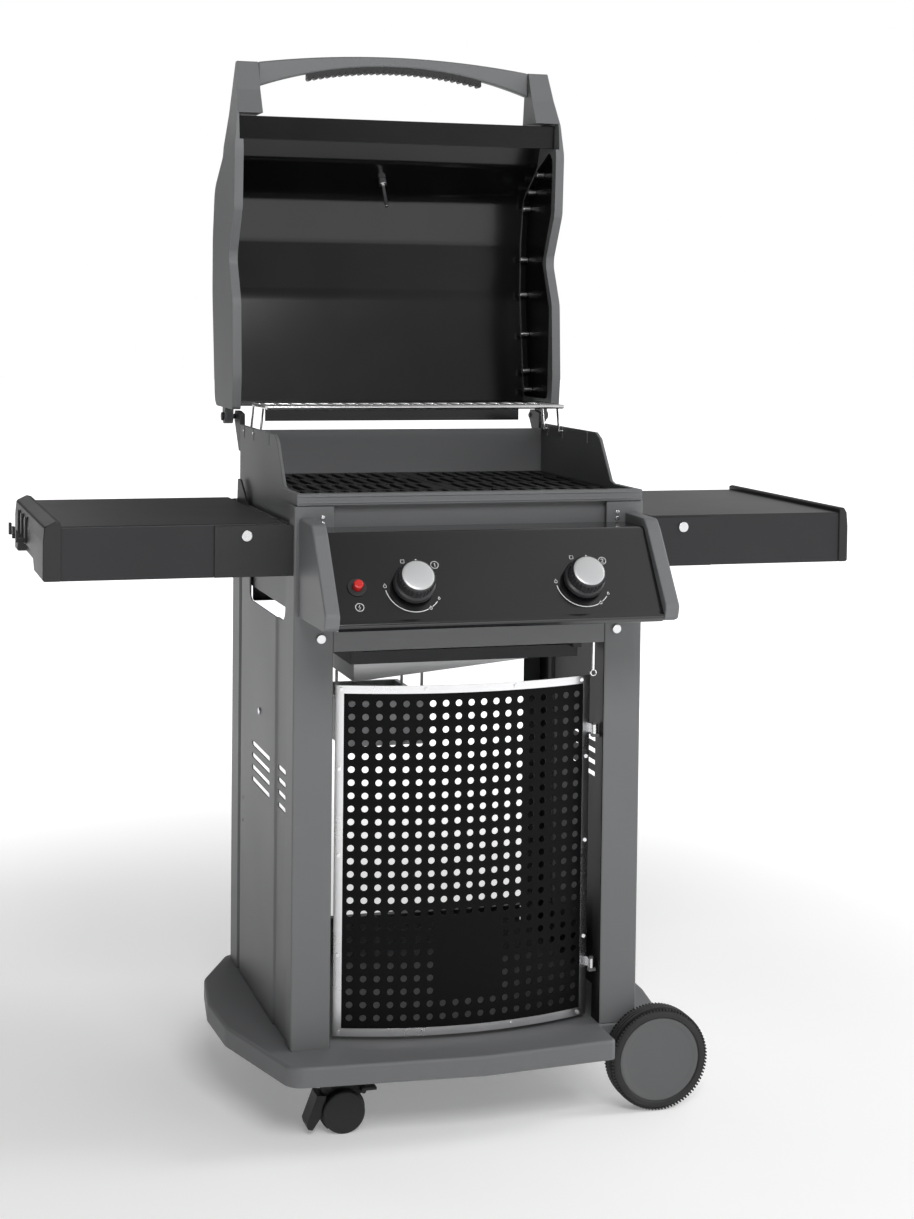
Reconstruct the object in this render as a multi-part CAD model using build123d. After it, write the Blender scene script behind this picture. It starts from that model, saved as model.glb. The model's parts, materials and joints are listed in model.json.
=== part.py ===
"""Two-burner gas barbecue on a wheeled cabinet cart, lid open, one STEP per piece.

Millimetres, +Z up, front towards -Y. Pieces are drawn about the cookbox centreline with
the ground at z = 0, and are moved together at the end, so that the origin of the files
lies under the middle of the whole grill.
"""

import os
from math import cos, hypot, pi, radians, sin, sqrt

from build123d import *

# ---- cart ----
CART_HALF = 272.0  # outside faces of the cart's sides
CART_FRONT = -223.0  # front face of the two front legs
CART_BACK = 245.0  # rear face of the side panels
SHELF_TOP = 130.0
SHELF_DEPTH = 30.0  # height of the shelf's rolled rim
SHELF_SKIN = 4.0
SHELF_HALF = 350.0  # half width at the widest point of the bulged ends
SHELF_FRONT = -314.0
SHELF_BACK = 268.0
SHEET = 2.0  # formed steel sheet
LEG_WIDTH = 60.0
LEG_RETURN = 34.0  # depth of a leg's folded edges
LEG_TOP = 935.0
LEG_NOTCH = 765.0  # above this a leg keeps only its two outside faces
PANEL_TOP = 905.0  # top edge of the side panels
BEAM_LOW = 720.0
BEAM_HIGH = 762.0
SCREW_HEAD_R = 7.0
SCREW_HEAD = 3.5

# ---- cookbox ----
BOX_HALF = 265.0  # outside of the cookbox walls
BOX_WALL = 5.0
BOX_FRONT = -212.0
BOX_BACK = 228.0
BOX_FLOOR = 775.0  # where the upright walls turn into the funnel
FUNNEL_LOW = 738.0
LIP_TOP = 953.0
LIP_LOW = 936.0
LIP_FRONT = -226.0
LIP_HALF = 269.0
WALL_TOP = 1029.0  # raised side walls
BACK_TOP = 1020.0
LEDGE = 8.0
GRATE_SEAT = 934.0
GRATE_THICK = 13.0
GRATE_GAP = 2.0
TENT_SEAT = 868.0
RACK_WIRES = 22
BURNER_X = 128.0
BURNER_Z = 812.0
BURNER_R = 12.0

# ---- lid, drawn open ----
HINGE_Y = 275.0
HINGE_Z = 1040.0
HINGE_PIN_R = 4.0
HINGE_EAR_R = 12.0
LID_HALF = 284.0  # outside of the cast lid ends
LID_INNER = 269.5  # inside of the cast lid ends
LID_SKIN = 2.0
LID_RIM = 14.0  # width of the raised edge round each lid end
LID_WEB = 5.0  # wall of each lid end inside that edge
TONGUE_Y = 235.0  # lip hanging from the lid's rear sheet, which swings past the cookbox's back
HANDLE_TOP = 1629.0
HANDLE_LOW = 1588.0
HANDLE_RISE = 17.0
GRIP_HALF = 152.0
GRIP_RIBS = 28
HANDLE_HALF = 236.0
GAUGE_X = 0.0
GAUGE_Y = 329.5  # middle of the lid's steep front face, where the thermometer sits
GAUGE_Z = 1445.5
BAND_LOW = 1499.0
BAND_HIGH = 1537.0

# ---- control panel ----
PANEL_HALF = 243.0
CAP_HALF = 265.0
PANEL_EDGE_Y = -299.0  # upper fold of the sloping face
PANEL_EDGE_Z = 904.0
PANEL_NOSE_Y = -380.0  # lower fold of the sloping face
PANEL_NOSE_Z = 788.0
PANEL_BOTTOM = 773.0
DIAL_X = 128.0
DIAL_Z = 831.0
KNOB_R = 31.0
KNOB_FACE_R = 23.5
KNOB_HEIGHT = 34.0
KNOB_TRAVEL = 5.0
STEM_R = 4.0
STEM_HOLE_R = 6.0
INLET_X = 190.0  # gas hose connection on the manifold, pointing back
INLET_R = 7.5
INLET_REACH = 32.0
IGNITER_X = -210.0
IGNITER_R = 7.0
IGNITER_TRAVEL = 6.0

# ---- side tables ----
TABLE_TOP = 911.0
TABLE_LOW = 833.0
TABLE_FRONT = -213.7
TABLE_BACK = 206.0
TABLE_INNER = 289.0
TABLE_OUTER = 607.0
LEFT_END = 633.0
RIGHT_END = 622.0
PIVOT_X = 341.0
PIVOT_Z = 893.0
PIVOT_R = 6.0
BRACKET_OUTER = 388.0
BRACKET_T = 3.0

# ---- door ----
DOOR_HALF = 201.0
DOOR_LOW = 137.0
DOOR_HIGH = 665.0
DOOR_EDGE_Y = -192.0
DOOR_BOW = 37.0
DOOR_SKIN = 1.5
TRIM_WIDTH = 12.0
HOLE_R = 5.0
HOLE_PITCH = 19.7
HOLE_COLUMNS = 19
HOLE_ROWS = 25
PLAIN_COLUMNS = (7, 11)  # first and last column of the unpierced field
PLAIN_ROWS = (2, 7)  # first and last row of it, counted from the bottom
DOOR_PIN_X = 206.0
DOOR_PIN_Y = -202.0
DOOR_PIN_R = 3.0
DOOR_HINGE_Z = (212.0, 576.0)

# ---- grease tray ----
TRAY_HALF = 163.0
TRAY_FRONT = -150.0
TRAY_BACK = 200.0
TRAY_RIM = 700.0
TRAY_SHALLOW = 692.0
TRAY_DEEP = 661.0
PAN_TOP = 615.0
PAN_LOW = 545.0

# ---- running gear ----
WHEEL_R = 79.0
WHEEL_X = 298.0
FRONT_WHEEL = (-262.0, -227.0)  # outer and inner face of the front wheel
REAR_WHEEL = (284.0, 249.0)  # outer and inner face of the rear wheel
WELL_GAP = 3.0  # from a wheel's inner face to the edge of its well in the shelf
AXLE_R = 6.0
HUB_R = 64.0
CASTER_X = -210.0
CASTER_Y = 205.0
CASTER_R = 32.0
CASTER_TRAIL = 20.0
CASTER_WHEEL_WIDTH = 15.0
RUNNING = 0.08  # radial clearance of a pin or axle in its bore
GAP = 0.5  # clear space between pieces that move past each other

parts = {}


def block(x, y, z):
    """A box given by its (low, high) span on each axis."""
    size = (x[1] - x[0], y[1] - y[0], z[1] - z[0])
    middle = ((x[0] + x[1]) / 2, (y[0] + y[1]) / 2, (z[0] + z[1]) / 2)
    return Pos(*middle) * Box(*size)


def outline(points, radius=0.0):
    """A closed flat face through the points, with rounded corners."""
    if radius == 0.0:
        return make_face(Polyline(*points, close=True))
    return make_face(FilletPolyline(*points, radius=radius, close=True))


def side_plane(x):
    """The plane seen from the right, with Y across and Z up."""
    return Plane(origin=(x, 0, 0), x_dir=(0, 1, 0), z_dir=(1, 0, 0))


def front_plane(y):
    """The plane seen from the front, with X across and Z up."""
    return Plane(origin=(0, y, 0), x_dir=(1, 0, 0), z_dir=(0, -1, 0))


def side_prism(points, x, radius=0.0):
    """A (y, z) outline pulled along X over the span x."""
    return extrude(side_plane(x[0]) * outline(points, radius), amount=x[1] - x[0])


def front_prism(points, y, radius=0.0):
    """An (x, z) outline pulled along Y over the span y."""
    return extrude(front_plane(y[1]) * outline(points, radius), amount=y[1] - y[0])


def floor_prism(points, z, radius=0.0):
    """An (x, y) outline pulled up over the span z."""
    return extrude(Plane.XY.offset(z[0]) * outline(points, radius), amount=z[1] - z[0])


def rod(start, end, radius):
    """A round bar between two points."""
    run = Vector(*end) - Vector(*start)
    return extrude(Plane(origin=start, z_dir=run) * Circle(radius), amount=run.length)


def mirrored(shape):
    """The same piece on the other side of the centreline."""
    return mirror(shape, about=Plane.YZ)


def both(shape):
    """A piece and its mirror image, as separate solids of one node."""
    return Compound(children=[*shape.solids(), *mirrored(shape).solids()])


def group(shapes):
    """Separate solids that share one node."""
    return Compound(children=[solid for shape in shapes for solid in shape.solids()])


def bowed_band(half, depth, thickness, z):
    """An upright sheet bowed forwards about the door's own centre of curvature.

    Its outer face lies the given depth behind the door's outermost face.
    """
    radius = (DOOR_HALF**2 + DOOR_BOW**2) / (2 * DOOR_BOW)
    centre = DOOR_EDGE_Y - DOOR_BOW + radius
    ring = Circle(radius - depth) - Circle(radius - depth - thickness)
    band = extrude(Plane(origin=(0, centre, z[0])) * ring, amount=z[1] - z[0])
    return band & block((-half, half), (-400, -100), z)


def panel_normal():
    """Unit vector out of the sloping control face, as (y, z)."""
    run_y, run_z = PANEL_NOSE_Y - PANEL_EDGE_Y, PANEL_NOSE_Z - PANEL_EDGE_Z
    length = hypot(run_y, run_z)
    return run_z / length, -run_y / length


def panel_point(x, z, height=0.0):
    """A point on the control face at x and z, or that far out along its normal."""
    share = (z - PANEL_EDGE_Z) / (PANEL_NOSE_Z - PANEL_EDGE_Z)
    y = PANEL_EDGE_Y + share * (PANEL_NOSE_Y - PANEL_EDGE_Y)
    ny, nz = panel_normal()
    return (x, y + height * ny, z + height * nz)


def panel_rod(x, z, low, high, radius):
    """A round piece standing square on the control face between two heights."""
    return rod(panel_point(x, z, low), panel_point(x, z, high), radius)


# ---- cart ------------------------------------------------------------------------------


def make_shelf():
    """The moulded bottom shelf, hollow underneath, with bosses for casters and axle."""
    well_x = WHEEL_X - WHEEL_R - 6.0
    well_front = FRONT_WHEEL[1] + WELL_GAP
    well_rear = REAR_WHEEL[1] - WELL_GAP
    left = [(-286, SHELF_FRONT + 22), (-SHELF_HALF + 6, -90), (-SHELF_HALF, 30)]
    left_back = [(-SHELF_HALF + 16, 150), (-276, SHELF_BACK)]
    right = [(well_x, SHELF_BACK), (well_x, well_rear), (SHELF_HALF - 30, well_rear)]
    right_front = [
        (SHELF_HALF - 4, 90), (SHELF_HALF - 8, -80), (SHELF_HALF - 30, well_front), (well_x, well_front),
    ]
    front = [(well_x, SHELF_FRONT + 16), (0, SHELF_FRONT)]
    points = left + left_back + right + right_front + front
    radii = [30, 60, 60, 60, 20, 10, 6, 16, 60, 60, 16, 6, 10, 0]
    plan = make_face(FilletPolyline(*points, radius=radii, close=True))
    low = SHELF_TOP - SHELF_DEPTH
    shelf = extrude(Plane.XY.offset(low) * plan, amount=SHELF_DEPTH)
    shelf = fillet(shelf.faces().sort_by(Axis.Z)[-1].outer_wire().edges(), 5.0)
    inside = offset(plan, amount=-SHELF_SKIN, kind=Kind.INTERSECTION)
    shelf -= extrude(Plane.XY.offset(low) * inside, amount=SHELF_DEPTH - SHELF_SKIN)
    for hanger_y in (well_front + 14.0, well_rear - 14.0):
        hanger_z = (WHEEL_R - 12, SHELF_TOP - SHELF_SKIN)
        shelf += block((WHEEL_X - 14, WHEEL_X + 14), (hanger_y - 8, hanger_y + 8), hanger_z)
    for side in (-1, 1):
        boss = Pos(CASTER_X, side * CASTER_Y, low - 2) * Cylinder(
            20, SHELF_DEPTH - 1, align=(Align.CENTER, Align.CENTER, Align.MIN),
        )
        socket = Pos(CASTER_X, side * CASTER_Y, low - 2) * Cylinder(
            5 + RUNNING, 22, align=(Align.CENTER, Align.CENTER, Align.MIN),
        )
        shelf = shelf + boss - socket
    shelf -= rod((WHEEL_X, well_front - 5, WHEEL_R), (WHEEL_X, well_rear + 5, WHEEL_R), AXLE_R)
    return shelf


def make_side_panel():
    """The left side sheet, with its step, vents and hand opening."""
    x = -CART_HALF
    front = CART_FRONT + LEG_RETURN
    bends = [(x, CART_BACK), (x, 191), (x + 4, 187), (x + 4, 171), (x, 167), (x, -97), (x + 3, -103)]
    bends += [(x + 3, front + 6), (x, front)]
    inner = [(px + SHEET, py) for px, py in reversed(bends)]
    panel = floor_prism(bends + inner, (SHELF_TOP, PANEL_TOP))
    panel += block((x, x + 31), (CART_BACK - SHEET, CART_BACK), (SHELF_TOP, PANEL_TOP))
    span = (-CART_HALF - 5, -CART_HALF + 20)
    for row in range(4):
        z = 488.0 + 19.0 * row - 19.0
        for low, high in ((-60.0, 74.0), (-162.0, -110.0)):
            panel -= side_prism([(low, z), (high, z), (high, z + 8), (low, z + 8)], span, 3.5)
    panel -= side_prism([(-150, 756), (104, 756), (104, 850), (-150, 850)], span, 20)
    for z in (790.0, 425.0, 388.0):
        panel -= rod((span[0], 168 - 22, z), (span[1], 168 - 22, z), 3)
    return panel


def make_leg():
    """The left front leg: a channel open to the back."""
    outer = block(
        (-CART_HALF, -CART_HALF + LEG_WIDTH), (CART_FRONT, CART_FRONT + LEG_RETURN),
        (SHELF_TOP, LEG_TOP),
    )
    outer = fillet(outer.edges().filter_by(Axis.Z).group_by(Axis.Y)[0], 3)
    hollow = block(
        (-CART_HALF + SHEET, -CART_HALF + LEG_WIDTH - SHEET),
        (CART_FRONT + SHEET, CART_FRONT + LEG_RETURN + 1),
        (SHELF_TOP - 1, LEG_TOP + 1),
    )
    notch = block(
        (-CART_HALF + SHEET, 0), (CART_FRONT + SHEET, CART_FRONT + LEG_RETURN + 1),
        (LEG_NOTCH, LEG_TOP + 1),
    )
    return outer - hollow - notch


def make_cart():
    """Shelf, sides, legs, cross-members and the screws that show."""
    parts["bottom_shelf"] = make_shelf()
    parts["left_side_panel"] = make_side_panel()
    parts["right_side_panel"] = mirrored(parts["left_side_panel"])
    parts["left_front_leg"] = make_leg()
    parts["right_front_leg"] = mirrored(parts["left_front_leg"])
    inner = CART_HALF - LEG_WIDTH
    beam = block((-inner, inner), (CART_FRONT + 1, CART_FRONT + 19), (BEAM_LOW, BEAM_HIGH))
    beam -= block(
        (-inner - 1, inner + 1), (CART_FRONT + 1 + SHEET, CART_FRONT + 20),
        (BEAM_LOW + SHEET, BEAM_HIGH - SHEET),
    )
    rear_y = (CART_BACK - SHEET - 16, CART_BACK - SHEET)
    rear_x = CART_HALF - 6 - SHEET
    upper = block((-rear_x + 25, rear_x - 25), rear_y, (735, 772)) - block(
        (-rear_x, rear_x), (rear_y[0] - 1, rear_y[1] - SHEET), (735 + SHEET, 772 - SHEET),
    )
    lower = block((-rear_x + 25, rear_x - 25), rear_y, (SHELF_TOP, 190)) - block(
        (-rear_x, rear_x), (rear_y[0] - 1, rear_y[1] - SHEET), (SHELF_TOP + SHEET, 188),
    )
    parts["crossmembers"] = group([beam, upper, lower])
    front = CART_FRONT
    screws = [rod((-231, front - SCREW_HEAD, 740), (-231, front, 740), SCREW_HEAD_R)]
    screws += [rod((-230, front - 2, z), (-230, front, z), 3.2) for z in (918.5, 909.5)]
    screws += [rod((-CART_HALF - 2.5, 16, 591), (-CART_HALF, 16, 591), 5.5)]
    parts["cart_screws"] = both(group(screws))


# ---- cookbox ---------------------------------------------------------------------------


def make_cookbox():
    """The cast firebox: four walls, raised sides and back, a lip and a funnel floor."""
    half, wall = BOX_HALF, BOX_WALL
    body = block((-half, half), (BOX_FRONT, BOX_BACK), (BOX_FLOOR, LIP_TOP))
    body += block((-LIP_HALF, LIP_HALF), (LIP_FRONT, BOX_FRONT + 1), (LIP_LOW, LIP_TOP))
    body += block((-LIP_HALF, LIP_HALF), (LIP_FRONT + 2, -120), (LIP_LOW, LIP_TOP))
    side = [(-128, LIP_TOP - 5), (-128, LIP_TOP), (-112, LIP_TOP + 4), (-62, 1020), (-42, WALL_TOP)]
    side += [(BOX_BACK, WALL_TOP), (BOX_BACK, LIP_TOP - 5)]
    for edge in ((-half, -half + wall), (half - wall, half)):
        body += side_prism(side, edge)
    body += block((-half, half), (BOX_BACK - wall, BOX_BACK), (LIP_TOP - 5, BACK_TOP))
    funnel = loft([
        Plane.XY.offset(FUNNEL_LOW) * Pos(0, 20) * Rectangle(270, 230),
        Plane.XY.offset(BOX_FLOOR) * Pos(0, (BOX_FRONT + BOX_BACK) / 2) * Rectangle(
            2 * half, BOX_BACK - BOX_FRONT,
        ),
    ])
    body += funnel
    body -= block(
        (-half + wall, half - wall), (BOX_FRONT + wall, BOX_BACK - wall),
        (BOX_FLOOR + wall, LIP_TOP + 1),
    )
    body -= loft([
        Plane.XY.offset(FUNNEL_LOW - 1) * Pos(0, 20) * Rectangle(260, 220),
        Plane.XY.offset(BOX_FLOOR + wall) * Pos(0, (BOX_FRONT + BOX_BACK) / 2) * Rectangle(
            2 * (half - wall), BOX_BACK - BOX_FRONT - 2 * wall,
        ),
    ])
    for low, high in (
        (BOX_FRONT + wall - 1, BOX_FRONT + wall + LEDGE), (BOX_BACK - wall - LEDGE, BOX_BACK - wall + 1),
    ):
        for seat in (GRATE_SEAT, TENT_SEAT):
            body += block((-half + wall - 1, half - wall + 1), (low, high), (seat - 6, seat))
    for y in (-5.0, 115.0, 192.0):
        body -= block((-half - 1, half + 1), (y - 2, y + 2), (WALL_TOP - 19, WALL_TOP + 1))
    for x in (-BURNER_X, BURNER_X):
        body -= rod((x, BOX_FRONT - 1, BURNER_Z), (x, BOX_FRONT + wall + 1, BURNER_Z), BURNER_R + GAP)
    body -= block(
        (-half + wall, half - wall), (BOX_FRONT + wall + LEDGE, BOX_BACK - wall - LEDGE),
        (BOX_FLOOR + wall, LIP_TOP + 1),
    )
    return body


def make_grate():
    """The left cast grate: a plate pierced by staggered slots."""
    inner = BOX_HALF - BOX_WALL - GRATE_GAP
    x0, x1 = -inner, -GRATE_GAP / 2
    y0, y1 = BOX_FRONT + BOX_WALL + 1.0, BOX_BACK - BOX_WALL - 1.0
    seat = GRATE_SEAT
    grate = block((x0, x1), (y0, y1), (seat, seat + GRATE_THICK))
    columns, rows = 11, 4
    pitch = (x1 - x0 - 10.0) / columns
    length = (y1 - y0 - 14.0) / rows
    slots = []
    for row in range(rows):
        shift = 0.0 if row % 2 == 0 else pitch / 2
        low = y0 + 10.0 + row * length
        for column in range(columns if row % 2 == 0 else columns - 1):
            x = x0 + 5.0 + pitch / 2 + shift + column * pitch
            slots.append(block((x - 6, x + 6), (low, low + length - 7), (seat - 1, seat + GRATE_THICK + 1)))
    return grate - slots


def make_rack():
    """The warming rack: rods across, on bent wire legs that sit on the side walls."""
    z, half = 1064.0, 250.0
    wire = 2.5
    front_y, rear_y = -5.0 + 90.0, 192.0
    rods = [rod((-half, y, z), (half, y, z), 3.5) for y in (front_y, rear_y)]
    for k in range(RACK_WIRES):
        x = -half + 12 + k * (2 * half - 24) / (RACK_WIRES - 1)
        rods.append(rod((x, front_y, z), (x, rear_y, z), wire))
    for y in (front_y + 30.0, rear_y):
        for side in (-1, 1):
            foot = (side * (BOX_HALF + 2), y, WALL_TOP - 8)
            knee = (side * (half + 4), y, WALL_TOP - 8)
            rods.append(rod((side * half, y, z), knee, 1.9))
            rods.append(rod(knee, foot, 1.9))
    rack = rods[0]
    for bar in rods[1:]:
        rack += bar
    joint_bar = rod((-half, front_y, z), (-half, rear_y, z), 3.0)
    return rack + joint_bar + mirrored(joint_bar)


def make_fire():
    """Cookbox, grates, heat tents, burners, manifold and the warming rack."""
    parts["cookbox"] = make_cookbox()
    parts["left_grate"] = make_grate()
    parts["right_grate"] = mirrored(parts["left_grate"])
    parts["warming_rack"] = make_rack()
    tents = []
    y = (BOX_FRONT + BOX_WALL + 1, BOX_BACK - BOX_WALL - 1)
    for x in (-DIAL_X, 0.0, DIAL_X):
        ridge = FilletPolyline(
            (x - 38, TENT_SEAT + 2), (x, TENT_SEAT + 40), (x + 38, TENT_SEAT + 2), radius=6,
        )
        tents.append(extrude(front_plane(y[1]) * trace(ridge, line_width=1.6), amount=y[1] - y[0]))
    parts["heat_tents"] = group(tents)
    burners = []
    for x in (-BURNER_X, BURNER_X):
        tube = rod((x, BOX_FRONT - 36, BURNER_Z), (x, BOX_BACK - 40, BURNER_Z), BURNER_R)
        tube -= rod((x, BOX_FRONT - 37, BURNER_Z), (x, BOX_BACK - 42, BURNER_Z), BURNER_R - 1.5)
        for k in range(16):
            port_y = BOX_FRONT + 40 + k * 22
            tube -= rod((x - 30, port_y, BURNER_Z), (x + 30, port_y, BURNER_Z), 1.6)
        burners.append(tube)
    parts["burners"] = group(burners)


def make_gas_line():
    """Manifold with its two valves, and the inlet fitting on its right-hand end."""
    depth = -62.0
    centre = panel_point(DIAL_X, DIAL_Z, depth)
    y, z = centre[1], centre[2]
    pieces = rod((-DIAL_X - 40, y, z - 14), (INLET_X + 12, y, z - 14), 8)
    for x in (-DIAL_X, DIAL_X):
        pieces += block((x - 14, x + 14), (y - 13, y + 16), (z - 14, z + 16))
        pieces += panel_rod(x, DIAL_Z, depth, depth + 34, 11)
        pieces += rod((x, y + 10, BURNER_Z), (x, BOX_FRONT - 30, BURNER_Z), 5)
        pieces -= panel_rod(x, DIAL_Z, depth + 12, depth + 40, STEM_R + RUNNING)
    inlet = rod((INLET_X, y, z - 14), (INLET_X, y + 18, z - 14), 10)
    inlet += rod((INLET_X, y + 18, z - 14), (INLET_X, y + INLET_REACH, z - 14), INLET_R)
    parts["gas_manifold"] = pieces + inlet


# ---- lid -------------------------------------------------------------------------------

LID_SIDE = [
    (202, 1055), (196, 1110), (204, 1233), (241, 1305), (196, 1386), (192, 1480), (199, 1538), (224, 1580),
    (246, 1629), (262, 1629), (273, 1543), (298, 1474), (372, 1424), (388, 1340), (388, 1247), (358, 1055),
]
LID_SIDE_RADII = [6, 60, 45, 30, 35, 40, 20, 40, 3, 3, 60, 25, 45, 90, 200, 25]
SHELL_PATH = [
    (216.5, 1536), (265, 1536), (292, 1471), (367, 1420), (382.5, 1340), (382.5, 1247), (353.5, 1061),
]


def lid_face():
    """The side outline of a lid end."""
    return make_face(FilletPolyline(*LID_SIDE, radius=LID_SIDE_RADII, close=True))


def make_lid_end():
    """The left cast lid end: a web inside a raised rim, a hinge ear and a handle horn."""
    face = lid_face()
    rim = LID_HALF - LID_INNER
    end = extrude(side_plane(-LID_HALF) * face, amount=rim)
    pocket = side_prism(
        [
            (222, 1070), (218, 1225), (256, 1305), (214, 1390), (210, 1478), (226, 1494), (284, 1470),
            (362, 1418), (374, 1340), (374, 1250), (348, 1070),
        ],
        (-LID_HALF + LID_WEB, -LID_INNER + 1), 12,
    )
    end -= pocket
    end -= front_prism(
        [(-LID_HALF - 1, 1490), (-LID_HALF, 1490), (-LID_HALF + 14, 1635), (-LID_HALF - 1, 1635)], (150, 400)
    )
    horn = extrude(side_plane(-LID_INNER) * face, amount=LID_INNER - HANDLE_HALF)
    horn &= block((-LID_HALF, 0), (150, 400), (BAND_HIGH + 4, 1640))
    ear = rod((-LID_HALF, HINGE_Y, HINGE_Z), (-LID_INNER, HINGE_Y, HINGE_Z), HINGE_EAR_R)
    ear += block((-LID_HALF, -LID_INNER), (HINGE_Y - HINGE_EAR_R, HINGE_Y + HINGE_EAR_R), (HINGE_Z, 1062))
    end = end + horn + ear
    end -= block((-LID_HALF - 1 + 9, 0), (180, 218), (BAND_LOW - 2, BAND_HIGH + 4))
    end -= rod((-LID_HALF - 1, HINGE_Y, HINGE_Z), (0, HINGE_Y, HINGE_Z), HINGE_PIN_R + RUNNING)
    return end


def make_lid_shell():
    """The enamelled sheet between the lid ends, with its rear wall notched for the hinges."""
    path = FilletPolyline(*SHELL_PATH, radius=[6, 24, 42, 60, 150])
    shell = extrude(side_plane(-LID_INNER) * trace(path, line_width=LID_SKIN), amount=2 * LID_INNER)
    floor = FilletPolyline((353.5, 1061), (330, 1058), (298, 1057), radius=[60])
    shell += extrude(side_plane(-LID_INNER) * trace(floor, line_width=LID_SKIN), amount=2 * LID_INNER)
    tongue = FilletPolyline((299, 1057), (TONGUE_Y, 1056), (TONGUE_Y, 1034), radius=[5])
    shell += extrude(side_plane(-222) * trace(tongue, line_width=LID_SKIN), amount=444)
    return shell


def make_handle():
    """The arched handle bar between the two horns."""
    top, low = HANDLE_TOP, HANDLE_LOW
    over = ThreePointArc((-HANDLE_HALF, top), (0, top + HANDLE_RISE), (HANDLE_HALF, top))
    under = ThreePointArc((HANDLE_HALF, low), (0, top), (-HANDLE_HALF, low))
    rim = [over, Line(over @ 1, under @ 0), under, Line(under @ 1, over @ 0)]
    bar = extrude(front_plane(264) * make_face(rim), amount=18)
    return bar


def make_grip():
    """The ribbed finger grip under the handle bar."""
    low, top = HANDLE_LOW, HANDLE_TOP
    radius = (HANDLE_HALF**2 + (top - low) ** 2) / (2 * (top - low))
    centre = Plane(origin=(0, 262, top - radius), x_dir=(1, 0, 0), z_dir=(0, -1, 0))
    grip = extrude(centre * (Circle(radius) - Circle(radius - 8)), amount=14)
    grip &= block((-GRIP_HALF, GRIP_HALF), (240, 270), (1590, 1650))
    for k in range(GRIP_RIBS):
        x = -GRIP_HALF + 4 + k * (2 * GRIP_HALF - 8) / (GRIP_RIBS - 1)
        z = top - radius + sqrt((radius - 8) ** 2 - x**2)
        grip += rod((x, 247, z), (x, 263, z), 3.9)
    return grip


def make_lid():
    """Every piece that swings with the lid, and the hinges it hangs on."""
    parts["lid_left_end"] = make_lid_end()
    parts["lid_right_end"] = mirrored(parts["lid_left_end"])
    parts["lid_shell"] = make_lid_shell()
    band = block((-274, 274), (213, 216.5), (BAND_LOW, BAND_HIGH))
    parts["lid_front_band"] = band
    parts["lid_handle"] = make_handle()
    parts["handle_grip"] = make_grip()
    bolts = []
    for y, z in (
        (282, 1458), (325, 1430), (353, 1402), (366, 1312), (366, 1250), (356, 1180), (346, 1115),
        (335, 1082),
    ):
        bolts.append(rod((-LID_HALF + LID_WEB, y, z), (-LID_INNER + 4.5, y, z), 5))
    parts["lid_bolts"] = both(group(bolts))
    run_y, run_z = SHELL_PATH[3][0] - SHELL_PATH[2][0], SHELL_PATH[3][1] - SHELL_PATH[2][1]
    along = (-run_z / hypot(run_y, run_z), run_y / hypot(run_y, run_z))
    stations = [
        (GAUGE_X, GAUGE_Y + step * along[0], GAUGE_Z + step * along[1])
        for step in (-58, -12, -1, 1.02, 17)
    ]
    gauge = rod(stations[3], stations[4], 30)
    gauge += rod(stations[0], stations[4], 3)
    gauge += rod(stations[1], stations[2], 7)
    parts["lid_thermometer"] = gauge
    parts["lid_shell"] -= rod(stations[1], stations[4], 3)
    bracket = side_prism(
        [
            (BOX_BACK, 985), (BOX_BACK, 1046), (258, HINGE_Z + 10), (HINGE_Y, HINGE_Z + 10),
            (HINGE_Y + 9, HINGE_Z), (HINGE_Y, HINGE_Z - 11), (240, 985),
        ],
        (-BOX_HALF, -BOX_HALF + 8), 2,
    )
    bracket += block((-BOX_HALF, -BOX_HALF + 34), (BOX_BACK, BOX_BACK + 4), (985, 1018))
    bracket += rod((-LID_HALF - 3, HINGE_Y, HINGE_Z), (-BOX_HALF + 10, HINGE_Y, HINGE_Z), HINGE_PIN_R)
    bracket += rod((-LID_HALF - 4, HINGE_Y, HINGE_Z), (-LID_HALF - GAP, HINGE_Y, HINGE_Z), HINGE_PIN_R + 3)
    parts["lid_hinges"] = both(bracket)


# ---- controls --------------------------------------------------------------------------


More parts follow.
